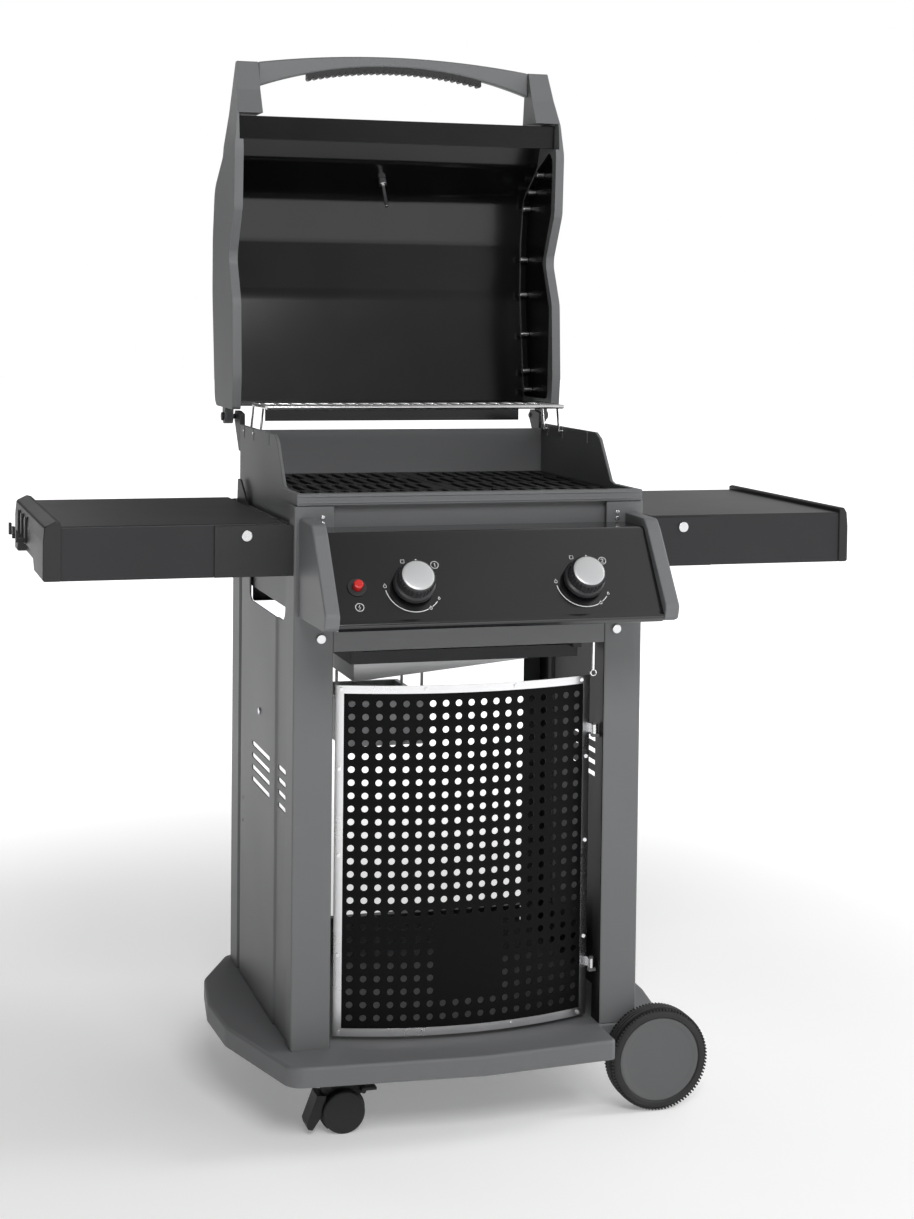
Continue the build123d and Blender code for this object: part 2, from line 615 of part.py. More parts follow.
def make_controls():
    """Sloping control panel, its end caps, the knobs and the igniter."""
    lip = 10.0
    path = FilletPolyline(
        (CART_FRONT - 1, PANEL_EDGE_Z - 1), (PANEL_EDGE_Y, PANEL_EDGE_Z - 1), (PANEL_NOSE_Y, PANEL_NOSE_Z),
        (
            PANEL_NOSE_Y - lip + 4, PANEL_NOSE_Z - 6,
        ), (PANEL_NOSE_Y + 3, PANEL_BOTTOM + 1), (PANEL_NOSE_Y + 60, PANEL_BOTTOM + 1),
        radius=[8, 2, 4, 4],
    )
    panel = extrude(side_plane(-PANEL_HALF) * trace(path, line_width=2.0), amount=2 * PANEL_HALF)
    for x in (-DIAL_X, DIAL_X):
        panel -= panel_rod(x, DIAL_Z, -8, 8, STEM_HOLE_R)
    panel -= panel_rod(IGNITER_X, DIAL_Z, -8, 8, 11)
    parts["control_panel"] = panel
    cap = [
        (CART_FRONT, 772), (CART_FRONT, 918), (-299, 916), (-313, 902), (-391, 797), (-386, 778),
        (-374, 774),
    ]
    cap_body = side_prism(cap, (-CAP_HALF, -PANEL_HALF), [0, 0, 14, 10, 10, 6, 4])
    cap_body = fillet(
        cap_body.faces().sort_by(Axis.X)[0].outer_wire().edges().filter_by(
            lambda e: e.center().Y < CART_FRONT - 2
        ),
        3,
    )
    parts["left_panel_end_cap"] = cap_body
    parts["right_panel_end_cap"] = mirrored(cap_body)
    for name, x in (("left", -DIAL_X), ("right", DIAL_X)):
        seat = 1.0 + KNOB_TRAVEL + GAP
        skirt = panel_rod(x, DIAL_Z, seat, seat + 9, KNOB_R)
        skirt += panel_rod(x, DIAL_Z, seat + 9, KNOB_HEIGHT, KNOB_FACE_R + 1.5)
        skirt = chamfer(skirt.edges().filter_by(GeomType.CIRCLE).group_by(SortBy.RADIUS)[-1], 1.0)
        skirt -= panel_rod(x, DIAL_Z, seat - 1, KNOB_HEIGHT - 8, STEM_R + RUNNING)
        parts[f"{name}_knob"] = skirt
        parts[f"{name}_knob_face"] = panel_rod(x, DIAL_Z, KNOB_HEIGHT, KNOB_HEIGHT + 1.6, KNOB_FACE_R)
        parts[f"{name}_valve_stem"] = panel_rod(x, DIAL_Z, -44, KNOB_HEIGHT - 8.4, STEM_R)
    bezel = panel_rod(IGNITER_X, DIAL_Z, 0.9, 3, 14) + panel_rod(IGNITER_X, DIAL_Z, -28, 2, 11)
    parts["igniter_bezel"] = bezel - panel_rod(IGNITER_X, DIAL_Z, -18, 4, IGNITER_R + RUNNING)
    button = panel_rod(IGNITER_X, DIAL_Z, -10, 14, IGNITER_R)
    parts["igniter_button"] = fillet(button.edges().filter_by(GeomType.CIRCLE).sort_by(Axis.Z)[-1], 2)


# ---- side tables -----------------------------------------------------------------------


def make_table_top():
    """The left table's folded sheet: a top, a front and a rear apron, cut back at the pivot."""
    span = (-TABLE_OUTER, -TABLE_INNER)
    top = block(span, (TABLE_FRONT, TABLE_BACK), (TABLE_LOW, TABLE_TOP))
    top = fillet(top.edges().filter_by(Axis.X).group_by(Axis.Z)[-1], 3)
    top -= block(
        (span[0] + SHEET, span[1] + 1), (TABLE_FRONT + SHEET, TABLE_BACK - SHEET),
        (TABLE_LOW - 1, TABLE_TOP - SHEET),
    )
    clear = [
        (-PIVOT_X + 14, TABLE_TOP - SHEET), (-PIVOT_X + 14, PIVOT_Z - 16),
        (-PIVOT_X - 10, TABLE_LOW - 1), (0, TABLE_LOW - 1), (0, TABLE_TOP - SHEET),
    ]
    top -= front_prism(clear, (TABLE_FRONT - 1, TABLE_BACK + 1))
    for y in (TABLE_FRONT, TABLE_BACK):
        top -= rod((-PIVOT_X, y - 5, PIVOT_Z), (-PIVOT_X, y + 5, PIVOT_Z), 3 + RUNNING)
    return top


def make_brackets():
    """The left table's fixed cheeks and web, which carry the pivot screws."""
    shape = [
        (-BRACKET_OUTER, TABLE_LOW), (-CART_HALF - BRACKET_T, TABLE_LOW), (-CART_HALF - BRACKET_T, 908),
        (-BRACKET_OUTER, 908),
    ]
    front = front_prism(shape, (TABLE_FRONT - GAP - BRACKET_T, TABLE_FRONT - GAP))
    rear = front_prism(shape, (TABLE_BACK + GAP, TABLE_BACK + GAP + BRACKET_T))
    web = block(
        (-CART_HALF - BRACKET_T, -CART_HALF),
        (TABLE_FRONT - GAP - BRACKET_T, TABLE_BACK + GAP + BRACKET_T), (TABLE_LOW, 905),
    )
    horn = side_prism(
        [(116, 900), (116, 908), (172, 942), (194, 942), (200, 900)],
        (-CART_HALF - BRACKET_T, -CART_HALF), 2,
    )
    return front + rear + web + horn


def make_tables():
    """Both side tables with their end caps, brackets and screws."""
    parts["left_table_top"] = make_table_top()
    parts["right_table_top"] = mirrored(parts["left_table_top"])
    parts["left_table_bracket"] = make_brackets()
    parts["right_table_bracket"] = mirrored(parts["left_table_bracket"])
    ends = {"left": LEFT_END, "right": RIGHT_END}
    for name, end in ends.items():
        profile = [
            (-TABLE_OUTER, TABLE_LOW), (-TABLE_OUTER, TABLE_TOP + 6), (-TABLE_OUTER - 8, TABLE_TOP + 8),
            (-end + 2, TABLE_TOP), (-end, TABLE_TOP - 22), (-end, TABLE_LOW),
        ]
        cap = front_prism(profile, (TABLE_FRONT - 3, TABLE_BACK + 3), [0, 2, 4, 6, 4, 4])
        cap = cap if name == "left" else mirrored(cap)
        if name == "left":
            scoop = side_prism(
                [(-95, TABLE_LOW - 1), (-70, TABLE_LOW + 26), (150, TABLE_LOW + 26), (175, TABLE_LOW - 1)],
                (-end - 1, -end + 14),
            )
            cap -= scoop
        parts[f"{name}_table_end_cap"] = cap
    hooks = []
    for y in (22.0, 80.0, 137.0):
        hook = side_prism(
            [(y - 9, 862), (y + 9, 862), (y + 9, 902), (y - 9, 902)], (-LEFT_END - 3, -LEFT_END), 3,
        )
        hook += block((-LEFT_END - 15, -LEFT_END - 2), (y - 6, y + 6), (864, 870))
        hook += block((-LEFT_END - 16, -LEFT_END - 12), (y - 6, y + 6), (864, 882))
        hooks.append(hook)
    parts["left_tool_hooks"] = group(hooks)
    screws = []
    for low, high, head in (
        (TABLE_FRONT - GAP - BRACKET_T - 2.5, TABLE_FRONT + 6, 0),
        (TABLE_BACK - 6, TABLE_BACK + GAP + BRACKET_T + 2.5, 1),
    ):
        screws.append(rod((-PIVOT_X, low, PIVOT_Z), (-PIVOT_X, high, PIVOT_Z), 3))
        face = low if head == 0 else high - 2.5
        screws[-1] += rod((-PIVOT_X, face, PIVOT_Z), (-PIVOT_X, face + 2.5, PIVOT_Z), 8)
    parts["table_screws"] = both(group(screws))
    for name in ("left_table_bracket", "right_table_bracket"):
        for x in (-PIVOT_X, PIVOT_X):
            parts[name] -= rod((x, TABLE_FRONT - 9, PIVOT_Z), (x, TABLE_FRONT, PIVOT_Z), 3)
            parts[name] -= rod((x, TABLE_BACK, PIVOT_Z), (x, TABLE_BACK + 9, PIVOT_Z), 3)


# ---- door ------------------------------------------------------------------------------


def door_y(x):
    """Outer face of the bowed door at x."""
    radius = (DOOR_HALF**2 + DOOR_BOW**2) / (2 * DOOR_BOW)
    return DOOR_EDGE_Y - DOOR_BOW + radius - sqrt(radius**2 - x**2)


def make_door():
    """The bowed, pierced door skin in its bright trim, with hinges and rivets."""
    skin = bowed_band(DOOR_HALF - 2, DOOR_SKIN, DOOR_SKIN, (DOOR_LOW + 2, DOOR_HIGH - 2))
    holes = []
    middle = (DOOR_LOW + DOOR_HIGH) / 2
    for column in range(HOLE_COLUMNS):
        x = (column - (HOLE_COLUMNS - 1) / 2) * HOLE_PITCH
        for row in range(HOLE_ROWS):
            plain = PLAIN_COLUMNS[0] <= column <= PLAIN_COLUMNS[1] and PLAIN_ROWS[0] <= row <= PLAIN_ROWS[1]
            if not plain:
                z = middle + (row - (HOLE_ROWS - 1) / 2) * HOLE_PITCH
                holes.append(rod((x, door_y(x) - 8, z), (x, door_y(x) + 8, z), HOLE_R))
    parts["door_panel"] = skin - holes
    trim = bowed_band(DOOR_HALF, 0.0, DOOR_SKIN, (DOOR_LOW, DOOR_HIGH))
    window = DOOR_HALF - TRIM_WIDTH
    trim -= block((-window, window), (-300, 0), (DOOR_LOW + TRIM_WIDTH, DOOR_HIGH - TRIM_WIDTH))
    for z in DOOR_HINGE_Z:
        trim += rod((DOOR_PIN_X, DOOR_PIN_Y, z), (DOOR_PIN_X, DOOR_PIN_Y, z + 14), DOOR_PIN_R + 2)
        trim += block((DOOR_HALF - 0.8, DOOR_PIN_X), (DOOR_EDGE_Y - 0.5, DOOR_EDGE_Y + 1), (z, z + 14))
        trim += block((DOOR_PIN_X - 4, DOOR_PIN_X), (DOOR_PIN_Y, DOOR_EDGE_Y + 1), (z, z + 14))
        trim -= rod((DOOR_PIN_X, DOOR_PIN_Y, z - 1), (DOOR_PIN_X, DOOR_PIN_Y, z + 15), DOOR_PIN_R + RUNNING)
    rivets = []
    inset = TRIM_WIDTH / 2
    for z in (DOOR_LOW + inset, DOOR_HIGH - inset):
        for x in (-DOOR_HALF + 8, -70, 70, DOOR_HALF - 16):
            rivets.append(rod((x, door_y(x) - 1.6, z), (x, door_y(x), z), 3))
    for x in (-DOOR_HALF + inset, DOOR_HALF - inset):
        for z in (260.0, 410.0, 540.0):
            rivets.append(rod((x, door_y(x) - 1.6, z), (x, door_y(x), z), 3))
    parts["door_trim"] = group([trim, *rivets])
    fixed = []
    leg_x = CART_HALF - LEG_WIDTH
    for z in DOOR_HINGE_Z:
        lug = block((DOOR_PIN_X - 5, leg_x), (DOOR_PIN_Y - 5, DOOR_PIN_Y + 5), (z - 5, z - GAP))
        lug += rod((DOOR_PIN_X, DOOR_PIN_Y, z - 5), (DOOR_PIN_X, DOOR_PIN_Y, z + 17), DOOR_PIN_R)
        fixed.append(lug)
    parts["door_hinges"] = group(fixed)


# ---- grease tray and small pieces -------------------------------------------------------


def make_tray():
    """The sloping grease tray on its rails, with the catch pan slung under its deep end."""
    y0, y1 = TRAY_FRONT, TRAY_BACK
    profile = [
        (-TRAY_HALF, TRAY_RIM), (-TRAY_HALF, TRAY_DEEP), (TRAY_HALF, TRAY_SHALLOW),
        (TRAY_HALF, TRAY_RIM),
    ]
    inner = [
        (-TRAY_HALF + 1.5, TRAY_RIM + 1), (-TRAY_HALF + 1.5, TRAY_DEEP + 2),
        (TRAY_HALF - 1.5, TRAY_SHALLOW + 1.5), (TRAY_HALF - 1.5, TRAY_RIM + 1),
    ]
    tray = front_prism(profile, (y0, y1)) - front_prism(inner, (y0 + 1.5, y1 - 1.5))
    tray += block((-TRAY_HALF - 12, -TRAY_HALF), (y0, y1), (TRAY_RIM - 1.5, TRAY_RIM))
    tray += block((TRAY_HALF, TRAY_HALF + 12), (y0, y1), (TRAY_RIM - 1.5, TRAY_RIM))
    drain = (-TRAY_HALF + 70, 20.0)
    tray -= rod((drain[0], drain[1], 640), (drain[0], drain[1], 690), 14)
    parts["grease_tray"] = tray
    seat = TRAY_RIM - 1.5 - 0.3
    rail = block((-TRAY_HALF - 16, -TRAY_HALF - 3), (y0 - 40, CART_BACK - 5), (seat - 3, seat))
    rail += block((-TRAY_HALF - 16, -TRAY_HALF - 14), (y0 - 40, CART_BACK - 5), (seat - 3, TRAY_RIM + 14))
    rail += block((-TRAY_HALF - 16, -TRAY_HALF - 14), (CART_BACK - 17, CART_BACK - 5), (seat - 3, 735))
    rail += block((-TRAY_HALF - 16, -TRAY_HALF - 2), (CART_FRONT + 10, y0 - 40), (TRAY_RIM + 12, BEAM_LOW))
    rail += mirrored(rail)
    rail += block((-TRAY_HALF - 16, TRAY_HALF + 16), (y0 - 44, y0 - 40), (seat - 3, TRAY_RIM + 14))
    parts["tray_rails"] = rail
    x0, x1 = drain[0] - 66, drain[0] + 66
    pan = block((x0, x1), (-70, 110), (PAN_LOW, PAN_TOP))
    pan -= block((x0 + 2, x1 - 2), (-68, 108), (PAN_LOW + 2, PAN_TOP + 1))
    pan += block((x0 - 5, x1 + 5), (-75, 115), (PAN_TOP - 2, PAN_TOP)) - block(
        (x0 + 2, x1 - 2), (-68, 108), (PAN_TOP - 3, PAN_TOP + 1),
    )
    for y in (-40.0, 80.0):
        for x in (x0 - 5, x1 + 1):
            floor = TRAY_DEEP + (x + TRAY_HALF) / (2 * TRAY_HALF) * (TRAY_SHALLOW - TRAY_DEEP)
            pan += block((x, x + 4), (y, y + 4), (PAN_TOP - 1, floor))
    parts["catch_pan"] = pan
    holder = rod((199, -212, 676), (199, -212, BEAM_LOW), 2.2)
    holder += Pos(199, -212, 672) * Rot(90, 0, 0) * Torus(4.5, 1.4)
    parts["match_holder"] = holder


# ---- running gear ----------------------------------------------------------------------


def make_wheels():
    """Axle, two road wheels, and two twin-wheel swivel casters with brake levers."""
    ends = (FRONT_WHEEL[0] + 8, REAR_WHEEL[0] - 8)
    parts["axle"] = rod((WHEEL_X, ends[0], WHEEL_R), (WHEEL_X, ends[1], WHEEL_R), AXLE_R)
    for name, side, faces in (("front", -1, FRONT_WHEEL), ("rear", 1, REAR_WHEEL)):
        far, near = faces
        tyre = rod((WHEEL_X, near, WHEEL_R), (WHEEL_X, far, WHEEL_R), WHEEL_R)
        tyre = fillet(tyre.edges().filter_by(GeomType.CIRCLE), 7)
        tyre -= rod((WHEEL_X, near - side, WHEEL_R), (WHEEL_X, far + side, WHEEL_R), HUB_R)
        parts[f"{name}_tyre"] = tyre
        hub = rod((WHEEL_X, near + side * 3, WHEEL_R), (WHEEL_X, far - side * 1, WHEEL_R), HUB_R)
        hub -= rod((WHEEL_X, near, WHEEL_R), (WHEEL_X, far - side * 6, WHEEL_R), HUB_R - 6)
        hub += rod((WHEEL_X, near, WHEEL_R), (WHEEL_X, far - side * 3, WHEEL_R), AXLE_R + 9)
        hub -= rod((WHEEL_X, near - side, WHEEL_R), (WHEEL_X, far - side * 7, WHEEL_R), AXLE_R + RUNNING)
        parts[f"{name}_hub"] = hub
        y = side * CASTER_Y
        axle_x = CASTER_X + CASTER_TRAIL
        web = 7.0
        top = SHELF_TOP - SHELF_DEPTH - 4
        fork = rod((CASTER_X, y, top - 14), (CASTER_X, y, top + 20), 5)
        fork += rod((CASTER_X, y, top - 14), (CASTER_X, y, top + 1), 14)
        hood = rod((axle_x, y - web, CASTER_R), (axle_x, y + web, CASTER_R), CASTER_R + 3)
        hood += rod((CASTER_X, y, 2 * CASTER_R + 2), (CASTER_X, y, top - 10), web + 4)
        hood += block((CASTER_X - 11, axle_x + 16), (y - web, y + web), (CASTER_R + 14, CASTER_R + 40))
        hood += block((axle_x + 14, axle_x + 36), (y - 5, y + 5), (CASTER_R + 21, CASTER_R + 33))
        skirt = [(-26, 26), (-40, 28), (-56, -14), (-54, -22), (-47, -24), (-CASTER_R - 4, -8)]
        corners = [(axle_x + dx, CASTER_R + dz) for dx, dz in skirt]
        hood += front_prism(corners, (y - 17, y + 17), 2)
        hood += block((axle_x - 36, CASTER_X), (y - web, y + web), (CASTER_R + 14, CASTER_R + 27))
        hood -= block((axle_x - 80, axle_x + 80), (y - 60, y + 60), (-20, 5))
        hood -= rod((axle_x, y - 60, CASTER_R), (axle_x, y - web, CASTER_R), CASTER_R + 1.5)
        hood -= rod((axle_x, y + web, CASTER_R), (axle_x, y + 60, CASTER_R), CASTER_R + 1.5)
        pivot = (axle_x + 31, CASTER_R + 28)
        hood -= rod((pivot[0], y - 9, pivot[1]), (pivot[0], y + 9, pivot[1]), 2 + RUNNING)
        pin_reach = web + CASTER_WHEEL_WIDTH - 2.5
        hood += rod((axle_x, y - pin_reach, CASTER_R), (axle_x, y + pin_reach, CASTER_R), 4)
        parts[f"{name}_caster_hood"] = fork + hood
        wheels = []
        for face in (-1, 1):
            start = y + face * (web + 0.6)
            wheel = rod(
                (axle_x, start, CASTER_R), (axle_x, start + face * CASTER_WHEEL_WIDTH, CASTER_R),
                CASTER_R,
            )
            wheel = fillet(wheel.edges().filter_by(GeomType.CIRCLE), 3)
            wheel -= rod(
                (axle_x, start - face, CASTER_R),
                (axle_x, start + face * (CASTER_WHEEL_WIDTH - 2), CASTER_R), 4 + RUNNING,
            )
            wheels.append(wheel)
        parts[f"{name}_caster_wheels"] = group(wheels)
        lever = block((pivot[0] - 3, pivot[0] + 20), (y - 16, y + 16), (pivot[1], pivot[1] + 4))
        lever += rod((pivot[0], y - 16, pivot[1]), (pivot[0], y + 16, pivot[1]), 4)
        lever -= block((pivot[0] - 5, pivot[0] + 7), (y - 5 - GAP, y + 5 + GAP), (pivot[1] - 8, pivot[1] + 8))
        lever += rod((pivot[0], y - 14, pivot[1]), (pivot[0], y + 14, pivot[1]), 2)
        parts[f"{name}_brake_lever"] = lever


make_cart()
make_fire()
make_gas_line()
make_lid()
make_controls()
make_tables()
make_door()
make_tray()
make_wheels()

whole = Compound(children=[solid for shape in parts.values() for solid in shape.solids()]).bounding_box()
SHIFT = (-(whole.min.X + whole.max.X) / 2, -(whole.min.Y + whole.max.Y) / 2, -whole.min.Z)

os.makedirs("parts", exist_ok=True)
for node, shape in parts.items():
    export_step(Pos(*SHIFT) * shape, f"parts/{node}.step")
print("shift", [round(value, 3) for value in SHIFT], "size", whole.size, "nodes", len(parts))
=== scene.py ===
"""Looks of a two-burner gas grill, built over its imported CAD.

Every sub-assembly is a class that either refines the CAD's own pieces (softened edges and a
procedural finish) or builds a finer stand-in for them. Metres, +Z up, front towards -Y.
"""

from __future__ import annotations

import json
import logging
import math
from dataclasses import dataclass, field
from enum import Enum

import bmesh
import bpy
from mathutils import Matrix, Vector

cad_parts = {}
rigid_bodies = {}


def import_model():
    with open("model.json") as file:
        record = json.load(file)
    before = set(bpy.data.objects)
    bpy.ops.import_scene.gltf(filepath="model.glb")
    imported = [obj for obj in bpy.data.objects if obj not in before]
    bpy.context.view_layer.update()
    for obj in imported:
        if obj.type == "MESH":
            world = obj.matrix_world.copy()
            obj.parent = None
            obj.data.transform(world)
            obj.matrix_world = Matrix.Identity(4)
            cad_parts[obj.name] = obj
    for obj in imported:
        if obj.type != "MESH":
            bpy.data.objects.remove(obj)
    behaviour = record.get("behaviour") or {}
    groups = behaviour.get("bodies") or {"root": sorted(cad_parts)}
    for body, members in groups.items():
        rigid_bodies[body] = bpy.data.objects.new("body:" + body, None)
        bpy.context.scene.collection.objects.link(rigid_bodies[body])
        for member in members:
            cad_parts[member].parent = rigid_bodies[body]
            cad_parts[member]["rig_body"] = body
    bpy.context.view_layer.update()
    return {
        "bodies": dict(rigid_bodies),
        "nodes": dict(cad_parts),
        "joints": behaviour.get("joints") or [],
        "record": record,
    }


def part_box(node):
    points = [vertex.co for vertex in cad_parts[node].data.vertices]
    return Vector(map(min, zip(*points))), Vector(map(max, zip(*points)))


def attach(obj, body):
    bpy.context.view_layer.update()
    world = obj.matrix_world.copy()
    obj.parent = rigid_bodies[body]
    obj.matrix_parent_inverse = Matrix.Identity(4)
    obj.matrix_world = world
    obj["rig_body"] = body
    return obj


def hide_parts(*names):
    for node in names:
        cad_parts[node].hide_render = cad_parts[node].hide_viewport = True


LOG = logging.getLogger("grill")
Colour = tuple[float, float, float]
Point = tuple[float, float, float]
MM = 0.001
WELD = 0.002 * MM  # corners nearer than this are one
FLAT_TURN = math.radians(0.4)  # faces that turn by less than this are one flat face
SHARP_TURN = math.radians(38.0)  # edges that turn by more than this are softened
ROUND_STEPS = 96  # facets round a turned piece


# ---- finishes --------------------------------------------------------------------------


class Grain(Enum):
    """How a finish's fine texture runs, as the stretch of its noise along X, Y and Z."""

    EVEN = (1.0, 1.0, 1.0)
    ACROSS = (0.04, 1.0, 1.0)
    ALONG = (1.0, 0.04, 1.0)
    UPRIGHT = (1.0, 1.0, 0.04)


def ramp(
    tree: bpy.types.NodeTree, value: bpy.types.NodeSocket, before: tuple[float, float],
    after: tuple[float, float], smooth: bool = False,
) -> bpy.types.NodeSocket:
    """Maps one range of a value onto another.

    Args:
        tree: Tree that gets the node.
        value: The value.
        before: The range it is taken from.
        after: The range it is given.
        smooth: Whether both ends ease in and out.

    Returns:
        The mapped value.
    """
    made = tree.nodes.new("ShaderNodeMapRange")
    if smooth:
        made.interpolation_type = "SMOOTHSTEP"
    made.inputs["From Min"].default_value = before[0]
    made.inputs["From Max"].default_value = before[1]
    made.inputs["To Min"].default_value = after[0]
    made.inputs["To Max"].default_value = after[1]
    tree.links.new(value, made.inputs["Value"])
    return made.outputs["Result"]


def product(
    tree: bpy.types.NodeTree, first: bpy.types.NodeSocket, second: bpy.types.NodeSocket | float,
) -> bpy.types.NodeSocket:
    """Multiplies a value by another value or by a constant.

    Args:
        tree: Tree that gets the node.
        first: The value.
        second: The other value, or the constant.

    Returns:
        The product.
    """
    times = tree.nodes.new("ShaderNodeMath")
    times.operation = "MULTIPLY"
    tree.links.new(first, times.inputs[0])
    if isinstance(second, float):
        times.inputs[1].default_value = second
    else:
        tree.links.new(second, times.inputs[1])
    return times.outputs[0]


@dataclass(frozen=True)
class Finish:
    """One procedural surface.

    Args:
        name: Name of the material.
        slot: The record's material slot it belongs to; not used.
        colour: Main colour, linear.
        rough: Mean roughness.
        metallic: Share of bare metal, 0 to 1.
        shine: Strength of the plain reflection, 0.5 for common paint.
        coat: Weight of a clear gloss coat.
        coat_rough: Roughness of that coat.
        grain: Direction of the fine texture.
        grain_scale: Fine noise cells per metre.
        bump: Depth of the fine texture in metres.
        ripple: Depth of a slow, wide unevenness in metres.
        uneven: Share by which the colour drifts in broad patches.
        rough_drift: Amount by which roughness drifts.
        wear: Strength of thin pale rub marks.
        dust: Share of pale dust lying in patches.
    """

    name: str
    slot: str
    colour: Colour
    rough: float = 0.5
    metallic: float = 0.0
    shine: float = 0.5
    coat: float = 0.0
    coat_rough: float = 0.1
    grain: Grain = Grain.EVEN
    grain_scale: float = 900.0
    bump: float = 0.00002
    ripple: float = 0.0
    uneven: float = 0.12
    rough_drift: float = 0.06
    wear: float = 0.05
    dust: float = 0.03

    def material(self) -> bpy.types.Material:
        """The material of this finish, made once.

        Returns:
            The Blender material.
        """
        found = bpy.data.materials.get(self.name)
        if found is not None:
            return found
        made = bpy.data.materials.new(self.name)
        made.use_nodes = True
        tree = made.node_tree
        shader = tree.nodes["Principled BSDF"]
        shader.inputs["Metallic"].default_value = self.metallic
        shader.inputs["Specular IOR Level"].default_value = self.shine
        shader.inputs["Coat Weight"].default_value = self.coat
        shader.inputs["Coat Roughness"].default_value = self.coat_rough
        coords = tree.nodes.new("ShaderNodeTexCoord")
        texture = tree.nodes.new("ShaderNodeGroup")
        texture.node_tree = surface_texture()
        texture.inputs["Stretch"].default_value = self.grain.value
        texture.inputs["Grain"].default_value = self.grain_scale
        tree.links.new(coords.outputs["Object"], texture.inputs["Vector"])
        dark = tuple(channel * (1.0 - self.uneven) for channel in self.colour)
        light = tuple(min(1.0, channel * (1.0 + self.uneven)) for channel in self.colour)
        worn = tuple(min(1.0, channel * 1.6 + 0.02) for channel in self.colour)
        body = self._mix(tree, texture.outputs["Patch"], dark, light)
        rubbed = self._mix(tree, product(tree, texture.outputs["Rub"], self.wear), body, worn)
        dusty = tuple(0.55 * channel + 0.1 for channel in light)
        final = self._mix(tree, product(tree, texture.outputs["Dust"], self.dust), rubbed, dusty)
        tree.links.new(final, shader.inputs["Base Color"])
        spread = (max(0.02, self.rough - self.rough_drift), min(1.0, self.rough + self.rough_drift))
        drift = ramp(tree, texture.outputs["Patch"], (0.0, 1.0), spread)
        tree.links.new(drift, shader.inputs["Roughness"])
        fine = tree.nodes.new("ShaderNodeBump")
        fine.inputs["Strength"].default_value = 1.0
        fine.inputs["Distance"].default_value = self.bump
        tree.links.new(texture.outputs["Fine"], fine.inputs["Height"])
        if self.ripple > 0.0:
            slow = tree.nodes.new("ShaderNodeBump")
            slow.inputs["Strength"].default_value = 1.0
            slow.inputs["Distance"].default_value = self.ripple
            tree.links.new(texture.outputs["Patch"], slow.inputs["Height"])
            tree.links.new(slow.outputs["Normal"], fine.inputs["Normal"])
        tree.links.new(fine.outputs["Normal"], shader.inputs["Normal"])
        return made

    @staticmethod
    def _mix(
        tree: bpy.types.NodeTree, mask: bpy.types.NodeSocket, low: Colour | bpy.types.NodeSocket,
        high: Colour | bpy.types.NodeSocket,
    ) -> bpy.types.NodeSocket:
        """Two colours mixed by a mask; each is a constant or a socket.

        Args:
            tree: Tree that gets the node.
            mask: Where the second colour shows.
            low: First colour.
            high: Second colour.

        Returns:
            The mixed colour.
        """
        mix = tree.nodes.new("ShaderNodeMix")
        mix.data_type = "RGBA"
        tree.links.new(mask, mix.inputs[0])
        for socket, colour in ((mix.inputs[6], low), (mix.inputs[7], high)):
            if isinstance(colour, tuple):
                socket.default_value = (*colour, 1.0)
            else:
                tree.links.new(colour, socket)
        return mix.outputs[2]


def surface_texture() -> bpy.types.NodeTree:
    """The shared texture group: fine grain, broad patches, rub marks and dust.

    Returns:
        The node group, made once.
    """
    found = bpy.data.node_groups.get("SurfaceTexture")
    if found is not None:
        return found
    group = bpy.data.node_groups.new("SurfaceTexture", "ShaderNodeTree")
    face = group.interface
    face.new_socket("Vector", in_out="INPUT", socket_type="NodeSocketVector")
    face.new_socket("Stretch", in_out="INPUT", socket_type="NodeSocketVector")
    face.new_socket("Grain", in_out="INPUT", socket_type="NodeSocketFloat")
    for name in ("Fine", "Patch", "Rub", "Dust"):
        face.new_socket(name, in_out="OUTPUT", socket_type="NodeSocketFloat")
    entry = group.nodes.new("NodeGroupInput")
    leave = group.nodes.new("NodeGroupOutput")
    stretch = group.nodes.new("ShaderNodeVectorMath")
    stretch.operation = "MULTIPLY"
    group.links.new(entry.outputs["Vector"], stretch.inputs[0])
    group.links.new(entry.outputs["Stretch"], stretch.inputs[1])
    fine = group.nodes.new("ShaderNodeTexNoise")
    fine.inputs["Detail"].default_value = 3.0
    fine.inputs["Roughness"].default_value = 0.6
    group.links.new(stretch.outputs[0], fine.inputs["Vector"])
    group.links.new(entry.outputs["Grain"], fine.inputs["Scale"])
    group.links.new(fine.outputs["Fac"], leave.inputs["Fine"])
    patch = group.nodes.new("ShaderNodeTexNoise")
    patch.inputs["Scale"].default_value = 5.0
    patch.inputs["Detail"].default_value = 4.0
    group.links.new(entry.outputs["Vector"], patch.inputs["Vector"])
    group.links.new(patch.outputs["Fac"], leave.inputs["Patch"])
    streak = group.nodes.new("ShaderNodeMapping")
    streak.inputs["Rotation"].default_value = (0.4, 0.9, 0.3)
    streak.inputs["Scale"].default_value = (6.0, 160.0, 90.0)
    group.links.new(entry.outputs["Vector"], streak.inputs["Vector"])
    rub = group.nodes.new("ShaderNodeTexNoise")
    rub.inputs["Scale"].default_value = 3.0
    rub.inputs["Detail"].default_value = 2.0
    group.links.new(streak.outputs["Vector"], rub.inputs["Vector"])
    group.links.new(ramp(group, rub.outputs["Fac"], (0.62, 0.75), (0.0, 1.0)), leave.inputs["Rub"])
    cloud = group.nodes.new("ShaderNodeTexNoise")
    cloud.inputs["Scale"].default_value = 14.0
    cloud.inputs["Detail"].default_value = 6.0
    group.links.new(entry.outputs["Vector"], cloud.inputs["Vector"])
    group.links.new(ramp(group, cloud.outputs["Fac"], (0.45, 0.8), (0.0, 1.0)), leave.inputs["Dust"])
    return group


